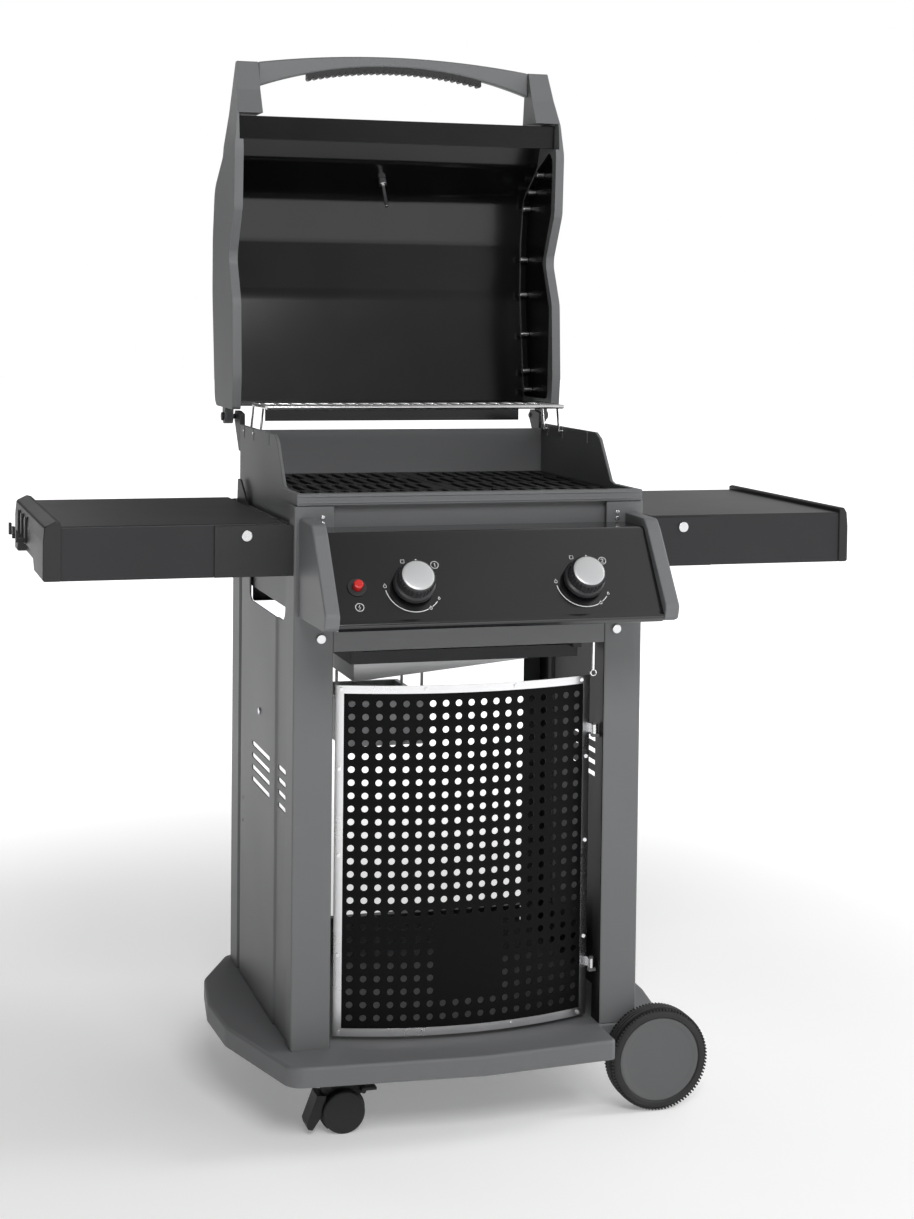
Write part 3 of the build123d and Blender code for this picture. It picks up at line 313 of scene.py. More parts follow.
@dataclass(frozen=True)
class Finishes:
    """Every finish on the grill.

    The cabinet's walls also wear the black of the lid's inside on the faces that look inward, as painted
    shade for the dark inside of the cabinet.
    """

    frame: Finish = Finish(
        "FramePaint", "grey_frame", (0.135, 0.138, 0.141), rough=0.48, shine=0.4, bump=0.00003,
        uneven=0.06,
    )
    casting: Finish = Finish(
        "CastPaint", "cast_grey", (0.128, 0.131, 0.134), rough=0.5, shine=0.4, grain_scale=420.0,
        bump=0.00006, ripple=0.0002, uneven=0.07,
    )
    moulding: Finish = Finish(
        "GreyMoulding", "grey_moulding", (0.14, 0.143, 0.147), rough=0.52, shine=0.4, grain_scale=700.0,
        bump=0.00004, uneven=0.05,
    )
    enamel: Finish = Finish(
        "BlackEnamel", "black_enamel", (0.004, 0.004, 0.0045), rough=0.2, shine=0.4, coat=0.1,
        coat_rough=0.08, grain_scale=160.0, bump=0.00001, ripple=0.0004, wear=0.02, dust=0.01,
    )
    # black of the lid's inside; the same black on the cabinet's inner walls is painted shade
    lid_inside_and_painted_shade: Finish = Finish(
        "LidInsideAndPaintedShade", "black_enamel", (0.003, 0.003, 0.003), rough=0.4, shine=0.1, grain_scale=200.0,
        wear=0.01, dust=0.01,
    )
    panel: Finish = Finish(
        "PanelEnamel", "black_enamel", (0.007, 0.007, 0.008), rough=0.2, coat=0.5, coat_rough=0.06,
        grain_scale=300.0, bump=0.000006, wear=0.02, dust=0.01,
    )
    sheet: Finish = Finish(
        "BlackSheet", "black_sheet", (0.026, 0.026, 0.028), rough=0.42, shine=0.22, grain_scale=800.0,
        bump=0.00004, wear=0.04,
    )
    rough_sheet: Finish = Finish(
        "PebbledSheet", "black_sheet", (0.027, 0.027, 0.028), rough=0.5, shine=0.25, grain_scale=330.0,
        bump=0.0006, wear=0.02,
    )
    door: Finish = Finish(
        "DoorPaint", "black_sheet", (0.004, 0.004, 0.0045), rough=0.45, shine=0.08, grain_scale=700.0,
        bump=0.00002, dust=0.0, wear=0.01,
    )
    iron: Finish = Finish(
        "CastIron", "cast_black", (0.012, 0.012, 0.013), rough=0.5, shine=0.3, grain_scale=300.0,
        bump=0.00022, uneven=0.25, dust=0.04,
    )
    bright: Finish = Finish(
        "BrightTrim", "bright_trim", (0.68, 0.68, 0.69), rough=0.28, metallic=1.0, grain=Grain.ACROSS,
        grain_scale=1400.0, bump=0.00003,
    )
    chrome: Finish = Finish(
        "PlatedWire", "chrome", (0.78, 0.78, 0.78), rough=0.16, metallic=1.0, grain_scale=500.0,
        bump=0.00001,
    )
    zinc: Finish = Finish(
        "PlainSteel", "galvanised", (0.66, 0.665, 0.67), rough=0.5, metallic=1.0, grain=Grain.ALONG,
        grain_scale=500.0, bump=0.00004, uneven=0.18,
    )
    brass: Finish = Finish("Brass", "brass", (0.5, 0.38, 0.16), rough=0.3, metallic=1.0, grain_scale=500.0)
    plastic: Finish = Finish(
        "BlackPlastic", "black_plastic", (0.02, 0.02, 0.021), rough=0.45, shine=0.3, grain_scale=900.0,
        bump=0.00004,
    )
    knob: Finish = Finish(
        "KnobPlastic", "knob_grey", (0.022, 0.022, 0.024), rough=0.34, grain_scale=900.0, bump=0.00003,
    )
    disc: Finish = Finish(
        "KnobDisc", "knob_face", (0.5, 0.505, 0.51), rough=0.32, metallic=0.35, grain=Grain.ACROSS,
        grain_scale=1200.0, bump=0.00002, uneven=0.05,
    )
    red: Finish = Finish(
        "RedButton", "red_button", (0.55, 0.012, 0.01), rough=0.25, coat=0.5, grain_scale=600.0,
        bump=0.00001,
    )
    tyre: Finish = Finish(
        "Tyre", "tyre", (0.012, 0.012, 0.012), rough=0.6, grain_scale=500.0, bump=0.00008, dust=0.12,
    )
    hub: Finish = Finish(
        "HubDisc", "grey_moulding", (0.1, 0.102, 0.104), rough=0.5, grain_scale=500.0, bump=0.00004,
        uneven=0.05,
    )
    ink: Finish = Finish(
        "WhitePrint", "knob_face", (0.75, 0.75, 0.74), rough=0.5, grain_scale=800.0, bump=0.00001,
        wear=0.0,
    )


# ---- mesh tools ------------------------------------------------------------------------


@dataclass(frozen=True)
class Axes:
    """A local frame: an origin and three directions at right angles."""

    origin: Vector
    right: Vector
    up: Vector

    @property
    def out(self) -> Vector:
        """The direction out of the plane of right and up."""
        return self.right.cross(self.up)

    def at(self, x: float, y: float, height: float = 0.0) -> Vector:
        """A point in the shared frame.

        Args:
            x: Distance along right.
            y: Distance along up.
            height: Distance out of the plane.

        Returns:
            The point.
        """
        return self.origin + x * self.right + y * self.up + height * self.out


def add_rod(
    mesh: bmesh.types.BMesh, start: Vector, end: Vector, radius: float, sides: int,
) -> None:
    """Adds a capped cylinder between two points.

    Args:
        mesh: Mesh that gets it.
        start: One end.
        end: The other end.
        radius: Its radius.
        sides: Sides round it.
    """
    run = end - start
    turn = run.to_track_quat("Z", "Y").to_matrix().to_4x4()
    place = Matrix.Translation((start + end) / 2) @ turn
    bmesh.ops.create_cone(
        mesh, cap_ends=True, segments=sides, radius1=radius, radius2=radius, depth=run.length,
        matrix=place,
    )


def add_lathe(
    mesh: bmesh.types.BMesh, profile: list[tuple[float, float]], axes: Axes,
) -> None:
    """Spins a (radius, height) profile about the out axis of a local frame.

    Args:
        mesh: Mesh that gets the surface.
        profile: Its points in millimetres, from one end to the other.
        axes: Frame whose origin and out direction are the axis.
    """
    verts = [mesh.verts.new(axes.at(radius * MM, 0.0, height * MM)) for radius, height in profile]
    edges = [mesh.edges.new(pair) for pair in zip(verts, verts[1:])]
    bmesh.ops.spin(
        mesh, geom=[*verts, *edges], cent=axes.origin, axis=axes.out, angle=math.tau, steps=ROUND_STEPS,
        use_merge=True,
    )
    bmesh.ops.remove_doubles(mesh, verts=mesh.verts[:], dist=WELD / 2)
    bmesh.ops.recalc_face_normals(mesh, faces=mesh.faces[:])


def add_strip(
    mesh: bmesh.types.BMesh, axes: Axes, points: list[tuple[float, float]], width: float, lift: float,
) -> None:
    """Adds a thin flat printed line along points in a local plane.

    Args:
        mesh: Mesh that gets it.
        axes: Plane of the print.
        points: The line, in the plane.
        width: Width of the line.
        lift: Height of the print's face over the plane.
    """
    sides: list[tuple[bmesh.types.BMVert, bmesh.types.BMVert]] = []
    for index, point in enumerate(points):
        before = Vector(points[max(0, index - 1)])
        after = Vector(points[min(len(points) - 1, index + 1)])
        along = (after - before).normalized()
        across = Vector((-along.y, along.x)) * width / 2
        pair = [
            mesh.verts.new(axes.at(point[0] + s * across.x, point[1] + s * across.y, lift))
            for s in (-1, 1)
        ]
        sides.append((pair[0], pair[1]))
    for (a, b), (c, d) in zip(sides, sides[1:]):
        mesh.faces.new((a, c, d, b))


def arc(radius: float, start: float, end: float, steps: int = 32) -> list[tuple[float, float]]:
    """Points along an arc.

    Args:
        radius: Its radius.
        start: First angle in degrees, from right, counter-clockwise.
        end: Last angle in degrees.
        steps: Number of spans.

    Returns:
        The points.
    """
    angles = [math.radians(start + (end - start) * k / steps) for k in range(steps + 1)]
    return [(radius * math.cos(a), radius * math.sin(a)) for a in angles]


def moved(
    points: list[tuple[float, float]], centre: tuple[float, float], scale: float,
) -> list[tuple[float, float]]:
    """Points of a mark, scaled and set down about a centre.

    Args:
        points: The mark, drawn about the origin.
        centre: Where its origin comes to lie.
        scale: What its sizes are multiplied by.

    Returns:
        The points.
    """
    return [(centre[0] + x * scale, centre[1] + y * scale) for x, y in points]


def looks_inward(face: bpy.types.MeshPolygon, middle: Vector, cosine: float) -> bool:
    """Whether a face looks along X towards the middle.

    Args:
        face: The face.
        middle: The middle.
        cosine: Least cosine of the angle between the face's normal and X.

    Returns:
        True if it does.
    """
    gap = middle.x - face.center.x
    return face.normal.x * gap > cosine * abs(gap)


# ---- sub-assemblies --------------------------------------------------------------------


@dataclass
class SubAssembly:
    """Shared ways to turn CAD nodes and new meshes into finished pieces.

    Args:
        finishes: Every finish.
    """

    frame: dict
    finishes: Finishes

    def body_of(self, node: str) -> str:
        """The CAD body a node belongs to.

        Args:
            node: Name of the node.

        Returns:
            Name of the body.
        """
        return self.frame["nodes"][node]["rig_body"]

    def place(
        self, name: str, mesh: bmesh.types.BMesh, body: str, finish: Finish, smooth: float = 35.0,
    ) -> bpy.types.Object:
        """Turns a mesh into an object that rides on a body.

        Args:
            name: Name of the piece.
            mesh: Its mesh, which is freed.
            body: The CAD body it moves with.
            finish: Its finish.
            smooth: Edges sharper than this many degrees stay crisp.

        Returns:
            The object.
        """
        data = bpy.data.meshes.new(name)
        mesh.to_mesh(data)
        mesh.free()
        data.shade_smooth()
        data.set_sharp_from_angle(angle=math.radians(smooth))
        data.materials.append(finish.material())
        piece = bpy.data.objects.new(name, data)
        bpy.context.scene.collection.objects.link(piece)
        flats = piece.modifiers.new("flats", "WEIGHTED_NORMAL")
        flats.keep_sharp = True
        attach(piece, body)
        LOG.info("%s on %s, %d faces", name, body, len(data.polygons))
        return piece

    def refine(self, node: str, finish: Finish, edge: float = 0.8, segments: int = 2) -> bpy.types.Object:
        """A finer copy of a CAD node, with its edges softened, that stands for it.

        Args:
            node: The CAD node.
            finish: Its finish.
            edge: Width of the softened edges in millimetres.
            segments: Facets across each softened edge.

        Returns:
            The object.
        """
        mesh = bmesh.new()
        mesh.from_mesh(self.frame["nodes"][node].data)
        bmesh.ops.remove_doubles(mesh, verts=mesh.verts[:], dist=WELD)
        bmesh.ops.dissolve_limit(
            mesh, angle_limit=FLAT_TURN, verts=mesh.verts[:], edges=mesh.edges[:],
            use_dissolve_boundaries=False,
        )
        if edge > 0.0:
            folds = [fold for fold in mesh.edges if len(fold.link_faces) == 2]
            sharp = [fold for fold in folds if fold.calc_face_angle(0.0) > SHARP_TURN]
            bmesh.ops.bevel(
                mesh, geom=sharp, offset=edge * MM, offset_type="OFFSET", segments=segments, affect="EDGES",
                profile=0.5, clamp_overlap=True, material=-1,
            )
        piece = self.place(f"{node}_looks", mesh, self.body_of(node), finish)
        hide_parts(node)
        return piece

    def carry(self, node: str, finish: Finish) -> None:
        """Keeps a CAD node as it is and gives it a finish.

        Args:
            node: The CAD node.
            finish: Its finish.
        """
        data = self.frame["nodes"][node].data
        data.materials.clear()
        data.materials.append(finish.material())

    def middle(self, node: str) -> Vector:
        """The middle of a CAD node's box.

        Args:
            node: The CAD node.

        Returns:
            The point.
        """
        low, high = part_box(node)
        return (low + high) / 2


@dataclass
class Cart(SubAssembly):
    """Shelf, side panels, legs, cross-members and screws.

    Args:
        shelf_edge: Width of the shelf's softened edges in millimetres.
        inward: Least cosine to X of the wall faces that are blackened as painted shade.
        rearward: Least cosine to +Y of the faces of the front legs that are blackened as painted shade.
    """

    shelf_edge: float = 1.2
    inward: float = 0.8
    rearward: float = 0.95

    def build(self) -> None:
        """Builds every piece of the cart."""
        look = self.finishes
        self.refine("bottom_shelf", look.moulding, self.shelf_edge, 3)
        for side in ("left", "right"):
            self.blacken(self.refine(f"{side}_side_panel", look.frame, 0.5))
            self.blacken(self.refine(f"{side}_front_leg", look.frame, 0.6))
        self.refine("crossmembers", look.frame, 0.5)
        self.refine("cart_screws", look.bright, 1.1, 3)
        self.refine("match_holder", look.chrome, 0.0)

    def blacken(self, wall: bpy.types.Object) -> None:
        """Paints the faces of a wall that look into the cabinet black, as painted shade for the dark inside
        of the cabinet.

        Args:
            wall: A side panel or a leg.
        """
        # painted shade: the faces that look into the dark cabinet get a second slot of black
        wall.data.materials.append(self.finishes.lid_inside_and_painted_shade.material())
        middle = self.middle("bottom_shelf")
        for face in wall.data.polygons:
            rearward = face.normal.y > self.rearward and face.center.y < middle.y
            if rearward or looks_inward(face, middle, self.inward):
                face.material_index = 1


@dataclass
class Firebox(SubAssembly):
    """Cookbox, grates, warming rack and what burns under them.

    Args:
        ridge: Radius of the ridges along the front lip.
        ridge_drops: Depth of each ridge under the lip's top.
        lip_rise: Height of the lip over the grates.
        lip_inset: Distances of the ridges from the cookbox's sides and front.
    """

    ridge: float = 2.2 * MM
    ridge_drops: tuple[float, ...] = (3.5 * MM, 13.0 * MM)
    lip_rise: float = 6.0 * MM
    lip_inset: tuple[float, float] = (2.0 * MM, 1.2 * MM)

    def build(self) -> None:
        """Builds every piece of the firebox."""
        look = self.finishes
        self.refine("cookbox", look.casting, 1.0, 3)
        self.refine("left_grate", look.iron, 1.6, 2)
        self.refine("right_grate", look.iron, 1.6, 2)
        self.refine("warming_rack", look.chrome, 0.0)
        self.refine("heat_tents", look.enamel, 0.0)
        self.carry("burners", look.zinc)
        self.carry("gas_manifold", look.brass)
        self.lip_ridges()

    def lip_ridges(self) -> None:
        """Two rounded ridges along the front lip."""
        low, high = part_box("cookbox")
        mesh = bmesh.new()
        lip_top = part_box("left_grate")[1].z + self.lip_rise
        side, front = self.lip_inset
        for drop in self.ridge_drops:
            start = Vector((low.x + side, low.y + front, lip_top - drop))
            end = Vector((high.x - side, low.y + front, lip_top - drop))
            add_rod(mesh, start, end, self.ridge, 12)
        self.place("lip_ridges", mesh, "cart", self.finishes.casting)


@dataclass
class Lid(SubAssembly):
    """Everything that swings on the lid's hinge, and the hinges.

    Args:
        horn_low: Height over which the lid ends are plain handle horns.
        inward: Least cosine to X of the flat inner faces of the lid ends.
        clear: How far outside the shell a face of the lid ends has to lie to be blackened.
    """

    horn_low: float = 1.52
    inward: float = 0.9
    clear: float = 1.0 * MM

    def build(self) -> None:
        """Builds every piece of the lid."""
        look = self.finishes
        for side in ("left", "right"):
            self.blacken(self.refine(f"lid_{side}_end", look.casting, 2.6, 3))
        self.refine("lid_shell", look.enamel, 0.0)
        self.refine("lid_front_band", look.enamel, 1.0, 2)
        self.refine("lid_handle", look.casting, 4.0, 4)
        self.refine("handle_grip", look.plastic, 0.0)
        self.refine("lid_thermometer", look.bright, 0.6, 2)
        self.refine("lid_hinges", look.sheet, 0.6, 2)
        self.refine("lid_bolts", look.bright, 0.8, 2)

    def blacken(self, end: bpy.types.Object) -> None:
        """Gives the hollow inner side of a lid end the enamel of the lid's inside.

        Args:
            end: The lid end.
        """
        end.data.materials.append(self.finishes.lid_inside_and_painted_shade.material())
        low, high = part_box("lid_shell")
        middle = (low + high) / 2
        for face in end.data.polygons:
            away = Vector((0.0, face.center.y - middle.y, face.center.z - middle.z))
            beyond = abs(face.center.x - middle.x) > (high.x - low.x) / 2 + self.clear
            walled = abs(face.normal.x) < self.inward and away.dot(face.normal) < 0.0
            inner = walled or looks_inward(face, middle, self.inward)
            if beyond and inner and face.center.z < self.horn_low:
                face.material_index = 1


@dataclass
class Controls(SubAssembly):
    """Control panel, end caps, knobs, igniter and the printed marks.

    Args:
        ring: Radius of the printed ring round each knob.
        line: Width of the printed lines.
        fine_line: Width of the lines of the figures and the spark.
        thin_line: Width of the lines of the flames, the off mark and the badge.
        lift: Height of the print over the panel.
        ring_spans: First and last angle, in degrees, and number of spans of each part of the ring.
        flames: Angle on the ring, in degrees, and height in millimetres of each flame.
        off_angle: Angle of the off mark on the ring, in degrees.
        badge: Place of the circled number from the knob's axis.
        spark: Place of the circled spark from the igniter's axis.
        flutes: Ribs round each knob.
        flute_ring: Distance of those ribs from the knob's axis.
        flute: Radius of a rib.
        grip: Height of the foot and of the top of the ribs over the panel.
        reach: Radius of the patch of panel that a control sits on.
        knob_top: Height of a knob's disc over the panel.
    """

    ring: float = 41.0 * MM
    line: float = 1.1 * MM
    fine_line: float = 0.9 * MM
    thin_line: float = 0.8 * MM
    lift: float = 0.35 * MM
    ring_spans: tuple[tuple[float, float, int], ...] = ((188.0, 296.0, 32), (306.0, 322.0, 8))
    flames: tuple[tuple[float, float], ...] = ((178.0, 6.0), (301.0, 5.0), (330.0, 4.0))
    off_angle: float = 104.0
    badge: tuple[float, float] = (37.0 * MM, 33.0 * MM)
    spark: tuple[float, float] = (0.0, -31.0 * MM)
    flutes: int = 30
    flute_ring: float = 26.2 * MM
    flute: float = 1.1 * MM
    grip: tuple[float, float] = (15.5 * MM, 30.0 * MM)
    reach: float = 20.0 * MM
    knob_top: float = 34.0 * MM

    def axes(self, node: str) -> Axes:
        """The face of the panel under a knob.

        Args:
            node: The knob's face disc.

        Returns:
            A frame lying on the panel.
        """
        tilt = self.panel_tilt()
        right = Vector((1.0, 0.0, 0.0))
        up = Vector((0.0, math.cos(tilt), math.sin(tilt)))
        out = right.cross(up)
        centre = self.middle(node)
        offset = self.surface_height(centre, out) - centre.dot(out)
        return Axes(centre + offset * out, right, up)

    def panel_tilt(self) -> float:
        """Angle of the sloping face from level, from the push joint's direction.

        Returns:
            The angle in radians.
        """
        push = next(joint for joint in self.frame["joints"] if joint["name"] == "left_knob_push")
        return math.atan2(abs(push["axis"][1]), abs(push["axis"][2]))

    def surface_height(self, centre: Vector, out: Vector) -> float:
        """How far along a direction the panel's sloping face lies, beside one of the controls.

        Args:
            centre: Middle of that control.
            out: The direction.

        Returns:
            The distance from the origin.
        """
        near = []
        for vertex in self.frame["nodes"]["control_panel"].data.vertices:
            step = vertex.co - centre
            if (step - step.dot(out) * out).length < self.reach:
                near.append(vertex.co.dot(out))
        return max(near) if near else centre.dot(out) - self.knob_top

    def build(self) -> None:
        """Builds every piece of the controls."""
        look = self.finishes
        self.refine("control_panel", look.panel, 0.5, 2)
        for side, digit in (("left", 1), ("right", 2)):
            self.refine(f"{side}_panel_end_cap", look.moulding, 2.0, 3)
            self.carry(f"{side}_valve_stem", look.bright)
            self.knob(side)
            self.print_ring(side, digit)
        self.refine("igniter_bezel", look.plastic, 0.8, 3)
        self.refine("igniter_button", look.red, 0.6, 3)
        self.print_spark()

    def knob(self, side: str) -> None:
        """A turned knob with a fluted skirt and a domed silver disc.

        Args:
            side: "left" or "right".
        """
        look = self.finishes
        axes = self.axes(f"{side}_knob_face")
        mesh = bmesh.new()
        profile = [
            (4.1, 5.6), (29.5, 5.6), (30.8, 6.6), (30.8, 12.0), (29.8, 14.0), (26.6, 15.5),
            (25.6, 30.0), (24.6, 32.2), (23.6, 32.9), (4.1, 32.9),
        ]
        add_lathe(mesh, profile, axes)
        for k in range(self.flutes):
            angle = math.tau * k / self.flutes
            spot = (self.flute_ring * math.cos(angle), self.flute_ring * math.sin(angle))
            add_rod(mesh, axes.at(*spot, self.grip[0]), axes.at(*spot, self.grip[1]), self.flute, 8)
        knob = self.place(f"{side}_knob_looks", mesh, f"{side}_knob", look.knob)
        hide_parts(f"{side}_knob")
        face = bmesh.new()
        dome = [(0.0, 34.5), (12.0, 34.4), (20.0, 34.0), (22.6, 33.5), (23.2, 32.9)]
        add_lathe(face, dome, axes)
        disc = self.place(f"{side}_disc_looks", face, f"{side}_knob", look.disc)
        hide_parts(f"{side}_knob_face")
        mark = bmesh.new()
        add_rod(mark, axes.at(0.0, 24.4 * MM, 28.0 * MM), axes.at(0.0, 25.0 * MM, 32.9 * MM), 1.0 * MM, 10)
        self.place(f"{side}_pointer", mark, f"{side}_knob", look.ink)

    def print_ring(self, side: str, digit: int) -> None:
        """The printed ring, flames, off mark and circled number of one knob.

        Args:
            side: "left" or "right".
            digit: The number of its burner.
        """
        axes = self.axes(f"{side}_knob_face")
        mesh = bmesh.new()
        for start, end, steps in self.ring_spans:
            add_strip(mesh, axes, arc(self.ring, start, end, steps), self.line, self.lift)
        for angle, size in self.flames:
            self.flame(mesh, axes, arc(self.ring, angle, angle, 1)[0], size * MM)
        off_mark = arc(self.ring, self.off_angle, self.off_angle, 1)[0]
        square = [(-2.6, -2.6), (2.6, -2.6), (2.6, 2.6), (-2.6, 2.6), (-2.6, -2.6)]
        add_strip(mesh, axes, moved(square, off_mark, MM), self.thin_line, self.lift)
        add_strip(mesh, axes, moved(arc(5.6, 0.0, 360.0), self.badge, MM), self.thin_line, self.lift)
        strokes = {
            1: [(-1.2, 1.6), (0.4, 3.0), (0.4, -3.0)],
            2: [(-1.7, 1.5), (-0.8, 2.8), (0.9, 2.8), (1.6, 1.4), (1.0, 0.2), (-1.8, -2.8), (1.9, -2.8)],
        }
        add_strip(mesh, axes, moved(strokes[digit], self.badge, MM), self.fine_line, self.lift)
        self.place(f"{side}_print", mesh, "cart", self.finishes.ink)

    def flame(
        self, mesh: bmesh.types.BMesh, axes: Axes, centre: tuple[float, float], size: float,
    ) -> None:
        """A small flame outline.

        Args:
            mesh: Mesh that gets it.
            axes: Plane of the print.
            centre: Its middle.
            size: Its height.
        """
        shape = [
            (0.0, -0.5), (0.34, -0.32), (0.36, 0.0), (0.12, 0.3), (0.02, 0.62), (-0.14, 0.24),
            (-0.36, 0.02), (-0.34, -0.3), (0.0, -0.5),
        ]
        add_strip(mesh, axes, moved(shape, centre, size), self.thin_line, self.lift)

    def print_spark(self) -> None:
        """The circled spark under the igniter."""
        base = self.axes("igniter_button")
        mesh = bmesh.new()
        add_strip(mesh, base, moved(arc(6.0, 0.0, 360.0), self.spark, MM), self.fine_line, self.lift)
        bolt = [(0.6, 3.2), (-1.6, -0.2), (0.9, -0.2), (-0.8, -3.4)]
        add_strip(mesh, base, moved(bolt, self.spark, MM), self.fine_line, self.lift)
        self.place("spark_print", mesh, "cart", self.finishes.ink)


@dataclass
class Tables(SubAssembly):
    """Both side tables, their brackets, end caps, hooks and screws."""

    def build(self) -> None:
        """Builds every piece of the tables."""
        look = self.finishes
        for side in ("left", "right"):
            self.refine(f"{side}_table_top", look.sheet, 0.7, 2)
            self.refine(f"{side}_table_end_cap", look.plastic, 1.8, 3)
        self.refine("left_table_bracket", look.rough_sheet, 0.8, 2)
        self.refine("right_table_bracket", look.sheet, 0.8, 2)
        self.refine("left_tool_hooks", look.plastic, 0.8, 2)
        self.refine("table_screws", look.bright, 1.0, 3)


@dataclass
class Door(SubAssembly):
    """The pierced door, its trim and its hinges."""

    def build(self) -> None:
        """Builds every piece of the door."""
        look = self.finishes
        self.refine("door_panel", look.door, 0.0)
        self.refine("door_trim", look.bright, 0.35, 2)
        self.refine("door_hinges", look.frame, 0.5, 2)


@dataclass
class GreaseTray(SubAssembly):
    """Grease tray, catch pan and their rails."""

    def build(self) -> None:
        """Builds every piece of the tray."""
        look = self.finishes
        self.refine("grease_tray", look.zinc, 0.4, 2)
        self.refine("catch_pan", look.zinc, 0.5, 2)
        self.refine("tray_rails", look.sheet, 0.5, 2)


@dataclass
class RunningGear(SubAssembly):
    """Wheels, axle and casters.

    Args:
        treads: Tread blocks round each tyre.
        tread: Radius of a tread block.
        tread_reach: Half its length.
        tread_sunk: Depth of its axis under the tyre's outer radius, in millimetres.
        tread_inset: Distance of its middle from the tyre's side, in millimetres.
    """

    treads: int = 92
    tread: float = 1.5 * MM
    tread_reach: float = 2.2 * MM
    tread_sunk: float = 2.3
    tread_inset: float = 2.6

    def build(self) -> None:
        """Builds every piece that rolls."""
        look = self.finishes
        self.carry("axle", look.bright)
        for name, side in (("front", -1.0), ("rear", 1.0)):
            self.tyre(name, side)
            self.hub(name, side)
            self.refine(f"{name}_caster_hood", look.plastic, 1.0, 3)
            self.refine(f"{name}_caster_wheels", look.plastic, 0.0)
            self.refine(f"{name}_brake_lever", look.plastic, 1.0, 3)

    def wheel_axes(self, name: str, side: float) -> Axes:
        """The outer face of a wheel, looking outward.

        Args:
            name: "front" or "rear".
            side: -1 at the front, 1 at the rear.

        Returns:
            A frame at the middle of the wheel's outer face.
        """
        low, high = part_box(f"{name}_tyre")
        middle = self.middle(f"{name}_tyre")
        face = low.y if side < 0.0 else high.y
        right = Vector((-side, 0.0, 0.0))
        return Axes(Vector((middle.x, face, middle.z)), right, Vector((0.0, 0.0, 1.0)))

    def tyre(self, name: str, side: float) -> None:
        """A solid tyre with grooves round it and tread blocks at its shoulders.

        Args:
            name: "front" or "rear".
            side: -1 at the front, 1 at the rear.
        """
        axes = self.wheel_axes(name, side)
        low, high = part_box(f"{name}_tyre")
        width = (high.y - low.y) / MM
        outer = (high.z - low.z) / 2 / MM
        inner = (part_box(f"{name}_hub")[1].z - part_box(f"{name}_hub")[0].z) / 2 / MM
        mesh = bmesh.new()
        profile = [
            (inner, -2.0), (inner + 2.0, -0.3), (outer - 9.0, 0.0), (outer - 5.0, -1.2),
            (outer - 2.4, -4.0), (outer - 1.4, -8.0),
        ]
        for centre in (0.3, 0.5, 0.7):
            groove = -width * centre
            profile += [
                (outer - 0.3, groove + 2.4), (outer - 2.0, groove + 1.4), (outer - 2.0, groove - 1.4),
                (outer - 0.3, groove - 2.4),
            ]
        profile += [
            (outer - 1.4, 8.0 - width), (outer - 2.4, 4.0 - width), (outer - 5.0, 1.2 - width),
            (outer - 9.0, -width), (inner, 2.0 - width), (inner, -2.0),
        ]
        add_lathe(mesh, profile, axes)
        for k in range(self.treads):
            angle = math.tau * k / self.treads
            radius = (outer - self.tread_sunk) * MM
            spot = (radius * math.cos(angle), radius * math.sin(angle))
            for height in (-self.tread_inset, self.tread_inset - width):
                start = axes.at(*spot, height * MM - self.tread_reach)
                end = axes.at(*spot, height * MM + self.tread_reach)
                add_rod(mesh, start, end, self.tread, 8)
        tyre = self.place(f"{name}_tyre_looks", mesh, f"{name}_wheel", self.finishes.tyre)
        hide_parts(f"{name}_tyre")

    def hub(self, name: str, side: float) -> None:
        """A plain dished hub disc with a raised rim.

        Args:
            name: "front" or "rear".
            side: -1 at the front, 1 at the rear.
        """
        axes = self.wheel_axes(name, side)
        low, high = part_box(f"{name}_hub")
        radius = (high.z - low.z) / 2 / MM
        depth = (high.y - low.y) / MM
        mesh = bmesh.new()
        profile = [
            (0.0, -3.4), (radius - 12.0, -3.0), (radius - 7.0, -2.2), (radius - 3.5, -1.2),
            (radius - 0.4, -2.0), (radius - 0.3, -8.0),
        ]
        profile += [
            (radius - 0.3, 1.0 - depth), (radius - 6.0, 1.0 - depth), (radius - 7.0, -8.0),
            (16.0, -8.0), (15.0, -0.5 - depth), (6.1, -0.5 - depth),
        ]
        add_lathe(mesh, profile, axes)
        hub = self.place(f"{name}_hub_looks", mesh, f"{name}_wheel", self.finishes.hub)
        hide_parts(f"{name}_hub")


# ---- studio ----------------------------------------------------------------------------


@dataclass(frozen=True)
class Light:
    """One soft studio light.

    Args:
        name: Its name.
        place: Where it hangs.
        aim: What it points at.
        size: Width and height of its face.
        power: Watts.
    """

    name: str
    place: Point
    aim: Point
    size: tuple[float, float]
    power: float

    def build(self) -> None:
        """Hangs the light."""
        data = bpy.data.lights.new(self.name, "AREA")
        data.shape = "RECTANGLE"
        data.size, data.size_y = self.size
        data.energy = self.power
        lamp = bpy.data.objects.new(self.name, data)
        lamp.location = self.place
        lamp.rotation_euler = (Vector(self.aim) - Vector(self.place)).to_track_quat("-Z", "Y").to_euler()
        bpy.context.scene.collection.objects.link(lamp)


